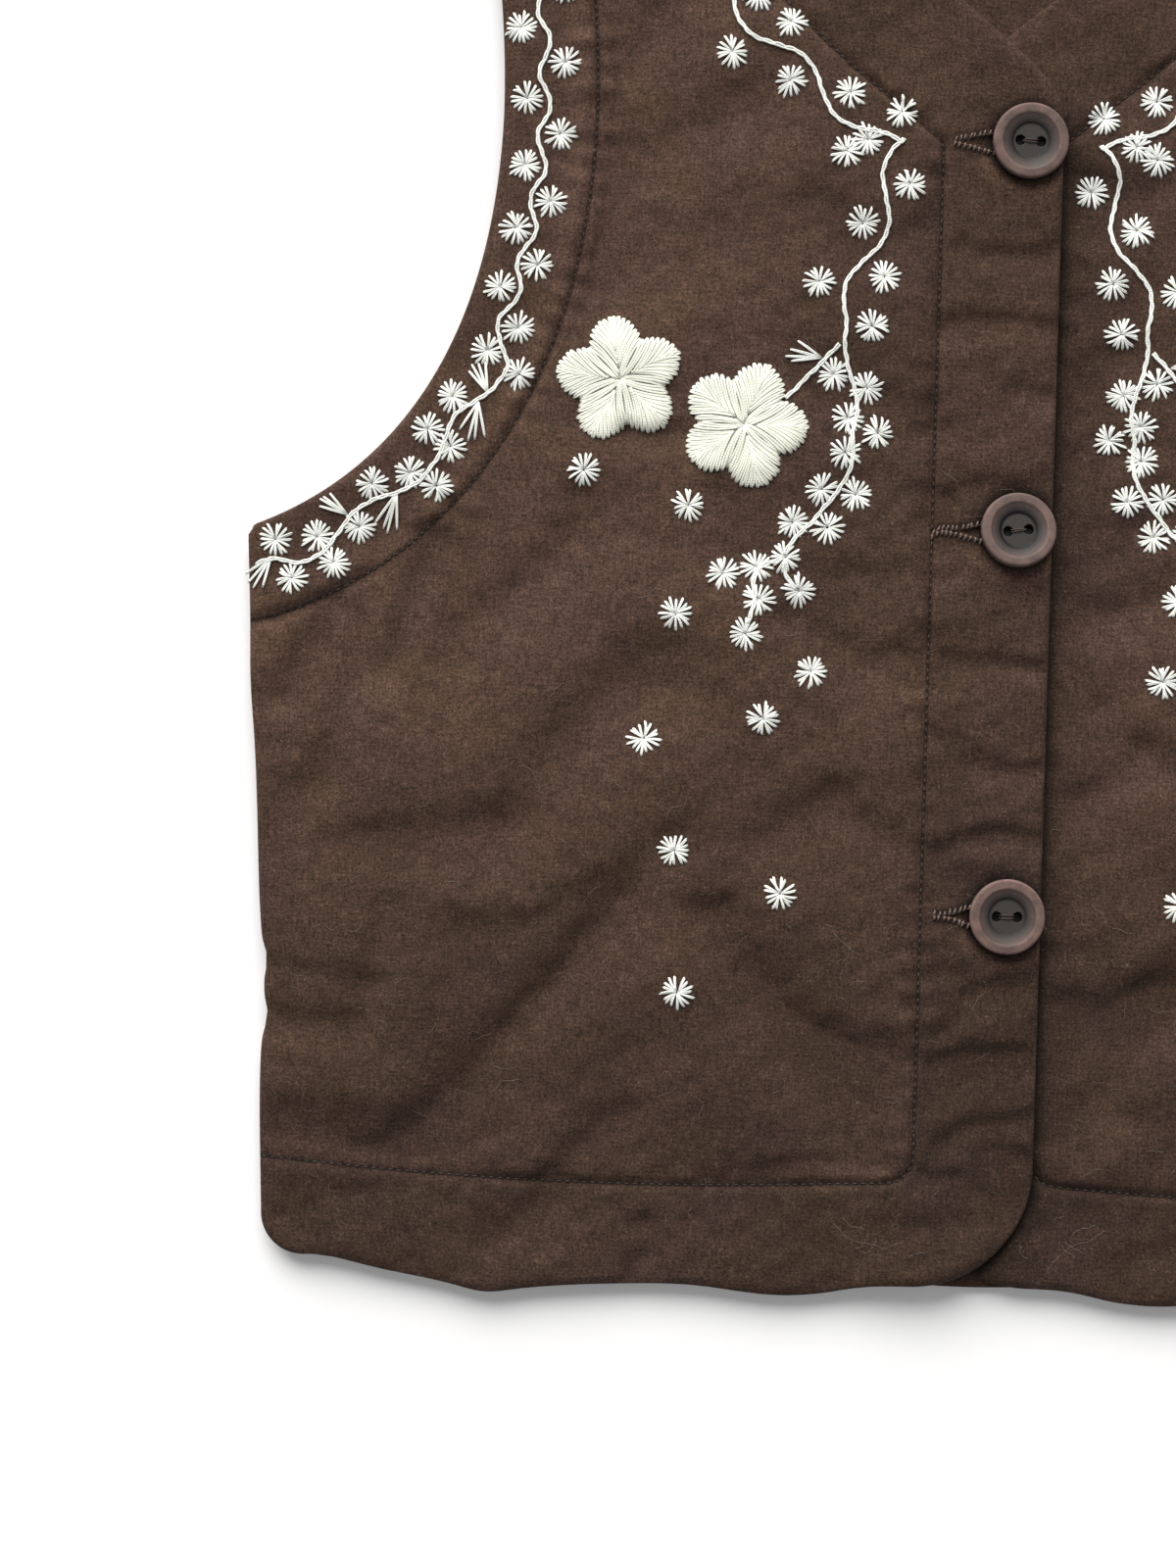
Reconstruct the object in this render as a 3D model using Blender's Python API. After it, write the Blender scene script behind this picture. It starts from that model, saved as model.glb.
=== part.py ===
"""Embroidered waistcoat, buttoned and laid flat with its fronts up.

Sizes below are in millimetres. A garment place is written (x, y): x runs from the
wearer's right (negative) to the wearer's left, with 0 at the centre back fold, and y
runs up from the hem. Heights z start at the surface that the waistcoat lies on. The
meshes are in metres, with the origin under the middle of the whole garment.

Each cloth panel is a closed padded wall. Its plan is a set of points: rings inside the
outline, rows along the stitch lines and the folds, and a staggered fill between them,
joined by a Delaunay triangulation. Its upper and lower heights are functions of (x, y).
"""

import math

import bmesh
import bpy
import numpy as np
from mathutils import Vector
from mathutils.bvhtree import BVHTree
from mathutils.geometry import delaunay_2d_cdt

MM = 0.001

# Heights of the layers
SEAM_GAP = 0.3
BACK_TOP = 4.05
FRONT_UNDER = BACK_TOP + SEAM_GAP
BODY_WALL = 4.2
BAND_WALL = 3.6
RIM_WALL = 1.6
ROUNDING = 6.0
STITCH_DEPTH = 1.5
STITCH_REACH = 1.8
SLIT_DEPTH = 0.75
SLIT_REACH = 2.5
LAP_LIFT = BAND_WALL + SEAM_GAP
LAP_RISE_START = -52.0
LAP_RISE_END = -21.5
PUFF_HEIGHT = 3.0
PUFF_REACH = 38.0
PUFF_SEAM_REACH = 30.0
BODY_EASE = 8.0
BACK_CURL = 2.2
BACK_TOP_FALL = 0.6
BACK_GROOVE = 0.75
EDGE_CURL = 0.6
CURL_REACH = 5.0

# Plan of a front, as the wearer's right one
MID_HEIGHT = 253.0
FRONT_EDGE = 20.2
BAND_WIDTH = 39.7
FRONT_CORNER = 40.0
SIDE_CORNER = 15.5
SIDE_HEM = (-217.5, 4.3)
UNDERARM = (-246.0, 245.0)
ARMHOLE = (UNDERARM, (-214.0, 257.0), (-167.0, 290.0), (-165.2, 385.0))
ARMHOLE_TOP = ((-165.2, 385.0), (-165.2, 420.0), (-170.2, 448.0), (-175.2, 474.0))
NECK = ((FRONT_EDGE, 388.0), (FRONT_EDGE, 412.0), (-66.0, 446.0), (-79.2, 512.0))
BACK_NECK = ((0.0, 488.0), (-40.0, 488.0), (-70.0, 496.0), (-79.2, 512.0))
BACK_INSET = 1.4
BACK_HEM_INSET = 1.0
ARM_BAND = 31.0
HEM_BAND = 31.0
HEM_BAND_MID = -116.0
HEM_BAND_BOW = 0.0004
BAND_CORNER = 9.0

# Scallops of the hem and dents of the side seam: place along the edge, depth, reach
HEM_WAVES = (
    # x, drop, reach
    (-157.0, 5.0, 26.0),
    (-112.0, 1.5, 26.0),
    (-60.0, 4.0, 26.0),
    (-217.5, -4.3, 18.0),
)
SIDE_DENTS = (
    # y, depth, reach
    (90.0, 2.0, 24.0),
    (82.0, 1.6, 4.5),
    (101.0, 1.4, 4.5),
)

# The largest folds of each front: start, middle and end (x, y), half width, rise
FOLDS_RIGHT = (
    # start, middle, end, half_width, rise
    ((-105.0, 136.8), (-150.2, 89.9), (-194.0, 36.6), 11.0, -2.9),
    ((-84.0, 172.0), (-146.0, 118.0), (-206.0, 66.0), 13.0, 1.2),
    ((-81.6, 115.8), (-59.0, 86.2), (-24.0, 78.8), 9.0, -1.9),
    ((-74.0, 150.7), (-57.0, 159.9), (-44.2, 164.6), 7.0, -1.3),
    ((-201.8, 150.0), (-164.0, 153.9), (-127.2, 188.1), 8.0, -1.6),
    ((-159.6, 119.9), (-136.0, 122.8), (-112.6, 138.7), 8.0, -1.5),
    ((-187.4, 244.7), (-193.2, 225.0), (-196.0, 211.9), 6.0, -1.6),
    ((-133.6, 259.3), (-141.8, 243.9), (-152.2, 226.3), 8.0, -1.3),
    ((-236.0, 82.0), (-217.0, 83.5), (-198.0, 80.7), 6.5, -2.0),
    ((-236.0, 101.0), (-222.0, 97.5), (-206.0, 95.6), 5.5, -1.5),
    ((-90.0, 392.0), (-118.0, 372.0), (-128.0, 336.0), 9.0, -1.5),
)
FOLDS_LEFT = (
    # start, middle, end, half_width, rise
    ((-98.0, 150.0), (-140.0, 108.0), (-176.0, 52.0), 11.0, -2.7),
    ((-70.0, 190.0), (-128.0, 146.0), (-182.0, 108.0), 13.0, 1.2),
    ((-80.0, 98.0), (-58.0, 72.0), (-30.0, 62.0), 9.0, -1.8),
    ((-196.0, 172.0), (-158.0, 168.0), (-118.0, 204.0), 8.0, -1.6),
    ((-180.0, 240.0), (-190.0, 218.0), (-196.0, 198.0), 6.0, -1.6),
    ((-126.0, 262.0), (-140.0, 240.0), (-152.0, 214.0), 8.0, -1.4),
    ((-236.0, 98.0), (-212.0, 92.0), (-190.0, 96.0), 7.0, -2.0),
    ((-94.0, 388.0), (-120.0, 366.0), (-132.0, 330.0), 9.0, -1.5),
)

# Buttons, buttonholes and raised flowers
BUTTON_X = 8.7
BUTTON_HEIGHTS = (123.4, 251.4, 379.4)
BUTTON_RADIUS = 12.5
BUTTON_THICKNESS = 4.4
BUTTON_HOLE_RADIUS = 1.2
BUTTON_HOLE_SPREAD = 3.4
BUTTON_RECESS = 2.5
BUTTON_SIDES = 28
BUTTON_HOLE_SIDES = 8
SLIT_START = -16.5
SLIT_END = 13.4
SLIT_HALF_WIDTH = 1.3
THREAD_RADIUS = 0.6
FLOWER_RADIUS = 21.5
FLOWER_HEIGHT = 1.5
FLOWER_LIFT = 0.4
FLOWER_SIDES = 40
FLOWER_LEVELS = (
    # share of the petal's reach and of the height, from the middle of the base to the top
    (0.5, 0.0),
    (1.0, 0.0),
    (1.0, 0.45),
    (0.86, 0.92),
    (0.45, 1.0),
)
FLOWER_DIMPLE = 0.75
PETAL_NOTCH = 0.68
PETAL_BLUNTNESS = 0.55
FLOWERS = (
    # name, x, y, turn of one petal in degrees
    ("1", -124.0, 297.1, 28.0),
    ("2", -82.7, 283.1, 66.0),
)

# Point spacing of the plans, and how far a group of points keeps from others and edges
EDGE_STEP = 10.0
CURVE_STEP = 9.0
TOP_STEP = 14.5
UNDER_STEP = 20.0
BACK_STEP = 30.0
RIM_RING = 1.6
RIM_RING_APART = 0.45
RIM_RING_KEEP = 0.93
FILL_APART = 0.62
FILL_MARGIN = 0.55
GROOVE_ROWS = (0.0, 3.0, -3.0)
ROW_APART = 2.0
ROW_MARGIN = 2.2
FOLD_APART = 6.5
FOLD_MARGIN = 7.0
LAP_APART = 5.0
LAP_STEP = 8.0
LAP_ROW_STEP = 14.0
LAP_ROW_ENDS = (46.0, 370.0)
LAP_UNDER_ENDS = (8.0, 400.0)

COLOURS = {
    # linear red, green, blue and roughness
    "brown cotton": (0.076, 0.046, 0.034, 0.9),
    "cream embroidery thread": (0.86, 0.87, 0.70, 0.75),
    "brown button": (0.055, 0.043, 0.037, 0.55),
    "brown sewing thread": (0.035, 0.022, 0.017, 0.85),
}


def material(name):
    """A plain Principled material in one of the waistcoat's colours."""
    found = bpy.data.materials.get(name)
    if found:
        return found
    red, green, blue, roughness = COLOURS[name]
    made = bpy.data.materials.new(name)
    made.use_nodes = True
    shader = made.node_tree.nodes["Principled BSDF"]
    shader.inputs["Base Color"].default_value = (red, green, blue, 1.0)
    shader.inputs["Roughness"].default_value = roughness
    shader.inputs["Metallic"].default_value = 0.0
    made.diffuse_color = (red, green, blue, 1.0)
    return made


# Curves of the plan, each an array with one (x, y) row for each point


def straight(start, end, step=EDGE_STEP):
    """Points on a straight line, about one step apart, both ends included."""
    start, end = np.array(start, float), np.array(end, float)
    count = max(2, int(round(np.linalg.norm(end - start) / step)) + 1)
    return start + (end - start) * np.linspace(0.0, 1.0, count)[:, None]


def even(path, step=EDGE_STEP):
    """The path with its points spread evenly along it, about one step apart."""
    runs = np.linalg.norm(np.diff(path, axis=0), axis=1)
    length = np.concatenate([[0.0], np.cumsum(runs)])
    at = np.linspace(0.0, length[-1], max(2, int(round(length[-1] / step)) + 1))
    return np.stack([np.interp(at, length, path[:, axis]) for axis in (0, 1)], 1)


def bezier(controls, step=CURVE_STEP):
    """Even points on the cubic Bezier curve with four control points."""
    first, second, third, last = (np.array(point, float) for point in controls)
    t = np.linspace(0.0, 1.0, 80)[:, None]
    curve = (1 - t) ** 3 * first + 3 * (1 - t) ** 2 * t * second
    return even(curve + 3 * (1 - t) * t**2 * third + t**3 * last, step)


def arc(centre, radius, start, end, count):
    """Points on a circular arc between two angles in degrees."""
    angle = np.radians(np.linspace(start, end, count))
    return np.array(centre) + radius * np.stack([np.cos(angle), np.sin(angle)], 1)


def moved(path, offset):
    """The path moved sideways, to its left for a positive offset."""
    along = np.gradient(path, axis=0)
    along /= np.linalg.norm(along, axis=1)[:, None]
    return path + offset * np.stack([-along[:, 1], along[:, 0]], 1)


def joined(*paths):
    """Paths put end to end, with the points that repeat at the joins left out."""
    rows = np.concatenate(paths)
    step = np.linalg.norm(np.diff(rows, axis=0), axis=1)
    return rows[np.concatenate([[True], step > 0.01])]


def hem_drop(x):
    """How far the hem hangs below its straight line at each x."""
    return sum(drop * np.exp(-(((x - at) / reach) ** 2)) for at, drop, reach in HEM_WAVES)


def hem_band(x):
    """Height of the hem's stitch line, a shallow bow."""
    return HEM_BAND + HEM_BAND_BOW * (x - HEM_BAND_MID) ** 2


def hem_curve():
    """The hem from the side corner to the front corner."""
    hem = straight((SIDE_HEM[0], 0.0), (FRONT_EDGE - FRONT_CORNER, 0.0))
    settle = np.clip((FRONT_EDGE - FRONT_CORNER - hem[:, 0]) / FRONT_CORNER, 0.0, 1.0)
    hem[:, 1] = -hem_drop(hem[:, 0]) * settle
    return hem


def side_curve():
    """The side seam from the underarm down to the side corner, with its dents."""
    foot = (SIDE_HEM[0] - SIDE_CORNER, SIDE_HEM[1] + SIDE_CORNER)
    side = straight(UNDERARM, foot, EDGE_STEP * 0.7)
    side[:, 0] += sum(
        depth * np.exp(-(((side[:, 1] - at) / reach) ** 2)) for at, depth, reach in SIDE_DENTS
    )
    corner = arc((SIDE_HEM[0], foot[1]), SIDE_CORNER, 180.0, 270.0, 6)
    return joined(side, corner)


def armhole_curve():
    """The armhole from the underarm up to the shoulder tip."""
    return joined(bezier(ARMHOLE), bezier(ARMHOLE_TOP))


def neck_curve():
    """The front neck from the front edge up to the high point of the shoulder."""
    return bezier(NECK)


def shoulder_curve():
    """The shoulder seam from the neck to the tip."""
    return straight(NECK[-1], ARMHOLE_TOP[-1])


def front_edges():
    """The right front's outline as named edges, anticlockwise from the hem."""
    corner_foot = FRONT_EDGE - FRONT_CORNER
    return {
        "hem": hem_curve(),
        "front": joined(
            arc((corner_foot, FRONT_CORNER), FRONT_CORNER, -90.0, 0.0, 9),
            straight((FRONT_EDGE, FRONT_CORNER), NECK[0]),
        ),
        "neck": neck_curve(),
        "shoulder": shoulder_curve(),
        "armhole": armhole_curve()[::-1],
        "side": side_curve(),
    }


def back_edges():
    """The back's outline: half a back and its mirror image, anticlockwise."""
    armhole = armhole_curve()[::-1]
    inset = BACK_INSET * np.sin(np.linspace(0.0, math.pi, len(armhole)))
    armhole = armhole + np.stack([inset, -0.5 * inset], 1)
    hem = joined(hem_curve(), straight((FRONT_EDGE - FRONT_CORNER, 0.0), (0.0, 0.0)))
    hem = hem + [0.0, BACK_HEM_INSET]
    neck = bezier(BACK_NECK)
    side = side_curve()
    side[-1] = hem[0]
    half = {"neck": neck, "shoulder": shoulder_curve(), "armhole": armhole, "side": side}
    half["hem"] = hem
    other = {name + "_left": mirrored(path)[::-1] for name, path in reversed(half.items())}
    return {**half, **other}


def mirrored(path):
    """The path on the other side of the centre line."""
    return path * [-1.0, 1.0]


def band_line():
    """The stitch line of the facing: along the hem, round its corner and up the front."""
    x = FRONT_EDGE - BAND_WIDTH
    foot = x - BAND_CORNER
    hem = straight((-236.0, 0.0), (foot, 0.0))
    hem[:, 1] = hem_band(hem[:, 0])
    rise = hem[-1, 1] + BAND_CORNER
    neck = moved(bezier(NECK, 3.0), BAND_WIDTH)
    neck = even(neck[neck[:, 0] < x - 1.0])
    front = straight((x, rise), (x, neck[0, 1] - 3.0))
    return joined(hem, arc((foot, rise), BAND_CORNER, -90.0, 0.0, 5), front, neck)


def arm_line():
    """The stitch line of the armhole's facing, from the side seam to the shoulder."""
    line = moved(armhole_curve(), -ARM_BAND)
    return even(joined(np.array([[UNDERARM[0] + 3.0, UNDERARM[1] - ARM_BAND - 0.5]]), line))


def back_neck_line():
    """The stitch line of the back neck's facing, over both halves."""
    line = moved(bezier(BACK_NECK), BAND_WIDTH)
    return joined(line[::-1], mirrored(line))


# Distances and heights over the plan


def distance(points, path):
    """Distance of each point to the nearest place on a path."""
    start, run = path[:-1], np.diff(path, axis=0)
    span = np.maximum((run**2).sum(1), 1e-9)
    offset = points[:, None, :] - start
    along = np.clip((offset * run).sum(2) / span, 0.0, 1.0)
    return np.linalg.norm(offset - along[:, :, None] * run, axis=2).min(1)


def inside(points, loop):
    """Which points lie inside a closed outline, by counting its crossings."""
    x, y = points[:, 0, None], points[:, 1, None]
    ends = np.roll(loop, -1, axis=0)
    spans = (loop[:, 1] > y) != (ends[:, 1] > y)
    rise = np.where(ends[:, 1] == loop[:, 1], 1.0, ends[:, 1] - loop[:, 1])
    cross = loop[:, 0] + (y - loop[:, 1]) * (ends[:, 0] - loop[:, 0]) / rise
    return (spans & (x < cross)).sum(1) % 2 == 1


def smooth(value):
    """A soft step from 0 to 1 as value goes from 0 to 1."""
    value = np.clip(value, 0.0, 1.0)
    return value * value * (3.0 - 2.0 * value)


def quarter_round(distance_in, reach):
    """A quarter ellipse: 0 at the edge, 1 from reach inwards."""
    return np.sqrt(np.clip(1.0 - (1.0 - np.clip(distance_in / reach, 0.0, 1.0)) ** 2, 0.0, 1.0))


def fold_line(fold, count=9):
    """Points along a fold, on the parabola through its start, middle and end."""
    start, middle, end = (np.array(point) for point in fold[:3])
    t = np.linspace(0.0, 1.0, count)[:, None]
    control = 2.0 * middle - 0.5 * (start + end)
    return (1 - t) ** 2 * start + 2 * (1 - t) * t * control + t**2 * end


def fold_rise(points, folds):
    """Sum of the folds: each a bell across its line that dies out at both ends."""
    total = np.zeros(len(points))
    for fold in folds:
        half_width, rise = fold[3:]
        line = fold_line(fold)
        across = distance(points, line)
        total += rise * np.exp(-((across / half_width) ** 2))
    return total


def body_depth(points):
    """Distance in from the nearest stitch line: above 0 on the body, below 0 on a band."""
    x, y = points.T
    from_hem = y - hem_band(x)
    from_front = FRONT_EDGE - BAND_WIDTH - x
    corner = BAND_CORNER - np.hypot(
        np.maximum(BAND_CORNER - from_hem, 0.0), np.maximum(BAND_CORNER - from_front, 0.0)
    )
    near_corner = (from_hem < BAND_CORNER) & (from_front < BAND_CORNER)
    along_front = np.where(near_corner, corner, np.minimum(from_hem, from_front))
    from_neck = distance(points, bezier(NECK, 4.0)) - BAND_WIDTH
    from_arm = distance(points, armhole_curve()) - ARM_BAND
    return np.minimum(np.minimum(along_front, from_neck), from_arm)


class FrontSurface:
    """Heights of a front's two faces, worked out on the right front's plan."""

    def __init__(self, edges, folds, lapped, slits):
        self.seams = (edges["side"], edges["shoulder"])
        self.free = (edges["hem"], edges["front"], edges["neck"], edges["armhole"])
        self.folds = folds
        self.lapped = lapped
        self.slits = slits

    def edge_distance(self, points, paths):
        """Distance to the nearest of several edges."""
        return np.min([distance(points, path) for path in paths], axis=0)

    def lift(self, points):
        """Height of the cloth's middle above the back: the lap, the puff and the folds."""
        seam = self.edge_distance(points, self.seams)
        depth = np.maximum(body_depth(points), 0.0)
        puff = PUFF_HEIGHT * (1.0 - np.exp(-((depth / PUFF_REACH) ** 2)))
        folds = fold_rise(points, self.folds) * smooth(depth / BODY_EASE)
        lift = np.maximum(puff * smooth(seam / PUFF_SEAM_REACH) + folds, 0.0)
        if self.lapped:
            run = (points[:, 0] - LAP_RISE_START) / (LAP_RISE_END - LAP_RISE_START)
            lift += LAP_LIFT * smooth(run)
        return lift

    def under(self, points):
        """Height of the lower face, which curls up at the free edges."""
        free = self.edge_distance(points, self.free)
        curl = EDGE_CURL * (1.0 - quarter_round(free, CURL_REACH))
        return FRONT_UNDER + self.lift(points) + curl

    def top(self, points):
        """Height of the upper face: the wall, rounded at edges and drawn in at stitches."""
        depth = body_depth(points)
        edge = self.edge_distance(points, self.seams + self.free)
        rounding = quarter_round(edge, ROUNDING)
        wall = BAND_WALL + (BODY_WALL - BAND_WALL) * smooth(depth / BODY_EASE)
        wall = RIM_WALL + (wall - RIM_WALL) * rounding
        wall -= STITCH_DEPTH * np.exp(-((depth / STITCH_REACH) ** 2)) * rounding
        for slit in self.slits:
            wall -= SLIT_DEPTH * np.exp(-((distance(points, slit) / SLIT_REACH) ** 2))
        return FRONT_UNDER + self.lift(points) + wall


class BackSurface:
    """Heights of the back's two faces."""

    def __init__(self, edges):
        seam = {name: name.startswith(("shoulder", "side")) for name in edges}
        self.seams = [path for name, path in edges.items() if seam[name]]
        self.free = [path for name, path in edges.items() if not seam[name]]

    def under(self, points):
        """Flat on the surface, curling up at every edge."""
        edge = np.min([distance(points, path) for path in self.seams + self.free], axis=0)
        return BACK_CURL * (1.0 - quarter_round(edge, CURL_REACH))

    def top(self, points):
        """Flat under the fronts, falling a little at the free edges."""
        free = np.min([distance(points, path) for path in self.free], axis=0)
        fall = BACK_TOP_FALL * (1.0 - quarter_round(free, CURL_REACH))
        groove = np.exp(-((distance(points, back_neck_line()) / STITCH_REACH) ** 2))
        return BACK_TOP - fall - BACK_GROOVE * groove


# Plans: points and triangles


class Plan:
    """Points gathered for one face of a panel, none closer than a group allows."""

    def __init__(self, loops):
        self.loops = loops
        self.outline = loops[0]
        self.closed = [np.vstack([loop, loop[:1]]) for loop in loops]
        self.points = np.concatenate(loops)

    def add(self, points, apart, margin):
        """Adds points inside the outline that keep apart from its edges and the rest."""
        points = points[inside(points, self.outline)]
        for path in self.closed:
            points = points[distance(points, path) > margin]
        for point in points:
            if np.hypot(*(self.points - point).T).min() > apart:
                self.points = np.vstack([self.points, point])

    def add_ring(self, offset):
        """A ring of points at one offset inside each loop."""
        for path in self.closed:
            around = np.vstack([path[-2:-1], path, path[1:2]])
            ring = moved(around, offset)[1:-2]
            self.add(ring, RIM_RING_APART * offset, RIM_RING_KEEP * offset)

    def add_rows(self, path, offsets=(0.0,), apart=ROW_APART, margin=ROW_MARGIN):
        """Rows of points along a path, one for each sideways offset."""
        for offset in offsets:
            self.add(moved(path, offset), apart, margin)

    def fill(self, step):
        """Staggered rows of points over what is left."""
        low, high = self.outline.min(0), self.outline.max(0)
        rows = np.arange(low[1], high[1], step * math.sqrt(0.75))
        for index, y in enumerate(rows):
            x = np.arange(low[0] + (index % 2) * step / 2.0, high[0], step)
            row = np.stack([x, np.full(len(x), y)], 1)
            self.add(row, FILL_APART * step, FILL_MARGIN * step)

    def triangles(self):
        """Delaunay triangles between the loops, anticlockwise, as rows of indices."""
        edges, start = [], 0
        for loop in self.loops:
            index = start + np.arange(len(loop))
            edges += list(zip(index.tolist(), np.roll(index, -1).tolist()))
            start += len(loop)
        points = [Vector(point) for point in self.points]
        result = delaunay_2d_cdt(points, edges, [], 1, 1e-5)
        if len(result[0]) != len(points):
            raise RuntimeError("two plan points are too close, or two plan edges cross")
        source = np.array([origin[0] for origin in result[3]])
        faces = source[np.array(result[2])]
        middles = self.points[faces].mean(1)
        for hole in self.loops[1:]:
            faces, middles = faces[~inside(middles, hole)], middles[~inside(middles, hole)]
        return faces


def place(points, heights):
    """Vertices in metres from plan points and heights in millimetres."""
    shifted = points - [0.0, MID_HEIGHT]
    return np.column_stack([shifted, heights]) * MM


def object_from(name, vertices, faces, colour, smooth_angle=50.0):
    """A mesh object with outward faces and one material."""
    mesh = bpy.data.meshes.new(name)
    mesh.from_pydata([tuple(row) for row in vertices.tolist()], [], faces)
    shell = bmesh.new()
    shell.from_mesh(mesh)
    bmesh.ops.recalc_face_normals(shell, faces=shell.faces)
    shell.to_mesh(mesh)
    shell.free()
    mesh.shade_smooth()
    mesh.set_sharp_from_angle(angle=math.radians(smooth_angle))
    mesh.materials.append(material(colour))
    made = bpy.data.objects.new(name, mesh)
    bpy.context.collection.objects.link(made)
    return made


def ring_faces(first, second, count):
    """Quads between two closed rings of points, from the indices where they start."""
    here = np.arange(count)
    after = np.roll(here, -1)
    return np.column_stack([first + here, first + after, second + after, second + here]).tolist()


def cap_faces(ring, middle, count):
    """Triangles between a closed ring of points and its middle point."""
    here = np.arange(count)
    after = np.roll(here, -1)
    return np.column_stack([ring + here, ring + after, np.full(count, middle)]).tolist()


def panel(name, top, under, surface, side=1.0):
    """A padded panel between two plans that share their loops."""
    top_faces, under_faces = top.triangles(), under.triangles()
    mirror = [side, 1.0]
    upper = place(top.points * mirror, surface.top(top.points))
    lower = place(under.points * mirror, surface.under(under.points))
    shift = len(upper)
    faces = top_faces.tolist() + (under_faces[:, ::-1] + shift).tolist()
    start = 0
    for loop in top.loops:
        faces += ring_faces(start + shift, start, len(loop))
        start += len(loop)
    return object_from(name, np.vstack([upper, lower]), faces, "brown cotton")


def outline_of(edges):
    """One closed loop from the named edges."""
    return joined(*edges.values())[:-1]


def slit_loop(y):
    """A buttonhole: two long sides with round ends, clockwise."""
    left, right = SLIT_START + SLIT_HALF_WIDTH, SLIT_END - SLIT_HALF_WIDTH
    ends = [
        arc((left, y), SLIT_HALF_WIDTH, 270.0, 90.0, 5),
        straight((left, y + SLIT_HALF_WIDTH), (right, y + SLIT_HALF_WIDTH), 6.0),
        arc((right, y), SLIT_HALF_WIDTH, 90.0, -90.0, 5),
        straight((right, y - SLIT_HALF_WIDTH), (left, y - SLIT_HALF_WIDTH), 6.0),
    ]
    return joined(*ends)[:-1]


def upright(x, ends):
    """A straight row of points up a front at one x."""
    return straight((x, ends[0]), (x, ends[1]), LAP_ROW_STEP)


def make_front(name, side, folds, lapped):
    """A front: side is 1 for the wearer's right one and -1 for the left one."""
    edges = front_edges()
    slits = [slit_loop(y) for y in BUTTON_HEIGHTS] if lapped else []
    closed_slits = [np.vstack([slit, slit[:1]]) for slit in slits]
    surface = FrontSurface(edges, folds, lapped, closed_slits)
    loops = [outline_of(edges)] + slits
    top, under = Plan(loops), Plan(loops)
    top.add_ring(RIM_RING)
    under.add_ring(CURL_REACH)
    for line in (band_line(), arm_line()):
        top.add_rows(line, GROOVE_ROWS)
    top.add_ring(ROUNDING)
    for fold in folds:
        line = even(fold_line(fold))
        half_width = fold[3]
        top.add_rows(line, (0.0, half_width, -half_width), FOLD_APART, FOLD_MARGIN)
        under.add_rows(line, apart=FOLD_APART, margin=FOLD_MARGIN)
    if lapped:
        for x in np.arange(LAP_RISE_START, LAP_RISE_END - LAP_APART, LAP_STEP):
            top.add_rows(upright(x, LAP_ROW_ENDS), apart=LAP_APART, margin=LAP_APART)
        for x in (LAP_RISE_START, LAP_RISE_END + SEAM_GAP):
            under.add_rows(upright(x, LAP_UNDER_ENDS), apart=LAP_APART, margin=LAP_APART)
    top.fill(TOP_STEP)
    under.fill(UNDER_STEP)
    return panel(name, top, under, surface, side)


def make_back():
    """The back, cut in one piece."""
    edges = back_edges()
    surface = BackSurface(edges)
    loop = outline_of(edges)
    top, under = Plan([loop]), Plan([loop])
    top.add_ring(CURL_REACH)
    for offset in (RIM_RING, CURL_REACH):
        under.add_ring(offset)
    top.add_rows(back_neck_line(), GROOVE_ROWS)
    top.fill(BACK_STEP)
    under.fill(BACK_STEP)
    return panel("back", top, under, surface)


# Buttons, threads and flowers


def button_profile():
    """Radius and height pairs of half a button, from its recess over the rim to its base."""
    rim_radius, base_radius = 1.9, 1.4
    rim_centre = (BUTTON_RADIUS - rim_radius, BUTTON_THICKNESS - rim_radius)
    dish = np.array([[6.2, BUTTON_RECESS], [6.9, BUTTON_RECESS + 0.25], [9.0, BUTTON_THICKNESS - 1.0]])
    rim = arc(rim_centre, rim_radius, 135.0, 0.0, 5)
    base = arc((BUTTON_RADIUS - base_radius, base_radius), base_radius, 0.0, -90.0, 3)
    return np.concatenate([dish, rim, base])


def make_button(number, x, y, seat):
    """A turned button with a rolled rim, a flat recess and two thread holes."""
    profile = button_profile()
    circle = arc((0.0, 0.0), 1.0, 0.0, 360.0, BUTTON_SIDES + 1)[:-1]
    holes = [
        arc((middle, 0.0), BUTTON_HOLE_RADIUS, 360.0, 0.0, BUTTON_HOLE_SIDES + 1)[:-1]
        for middle in (-BUTTON_HOLE_SPREAD, BUTTON_HOLE_SPREAD)
    ]
    rings = [(radius * circle, height) for radius, height in profile]
    rings += [(hole, height) for height in (BUTTON_RECESS, 0.0) for hole in holes]
    vertices = [np.column_stack([ring, np.full(len(ring), height)]) for ring, height in rings]
    faces = []
    for level in range(len(profile) - 1):
        faces += ring_faces((level + 1) * BUTTON_SIDES, level * BUTTON_SIDES, BUTTON_SIDES)
    hole_start = len(profile) * BUTTON_SIDES
    hole_points = len(holes) * BUTTON_HOLE_SIDES
    for index in range(len(holes)):
        upper = hole_start + index * BUTTON_HOLE_SIDES
        faces += ring_faces(upper + hole_points, upper, BUTTON_HOLE_SIDES)
    for ring, holes_at in ((0, hole_start), (len(profile) - 1, hole_start + hole_points)):
        flat = Plan([profile[ring][0] * circle] + holes).triangles()
        rim_index = ring * BUTTON_SIDES + np.arange(BUTTON_SIDES)
        index = np.concatenate([rim_index, holes_at + np.arange(hole_points)])
        faces += index[flat if ring == 0 else flat[:, ::-1]].tolist()
    shape = (np.vstack(vertices) + [x, y - MID_HEIGHT, seat]) * MM
    return object_from(f"button_{number}", shape, faces, "brown button", 40.0)


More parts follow.
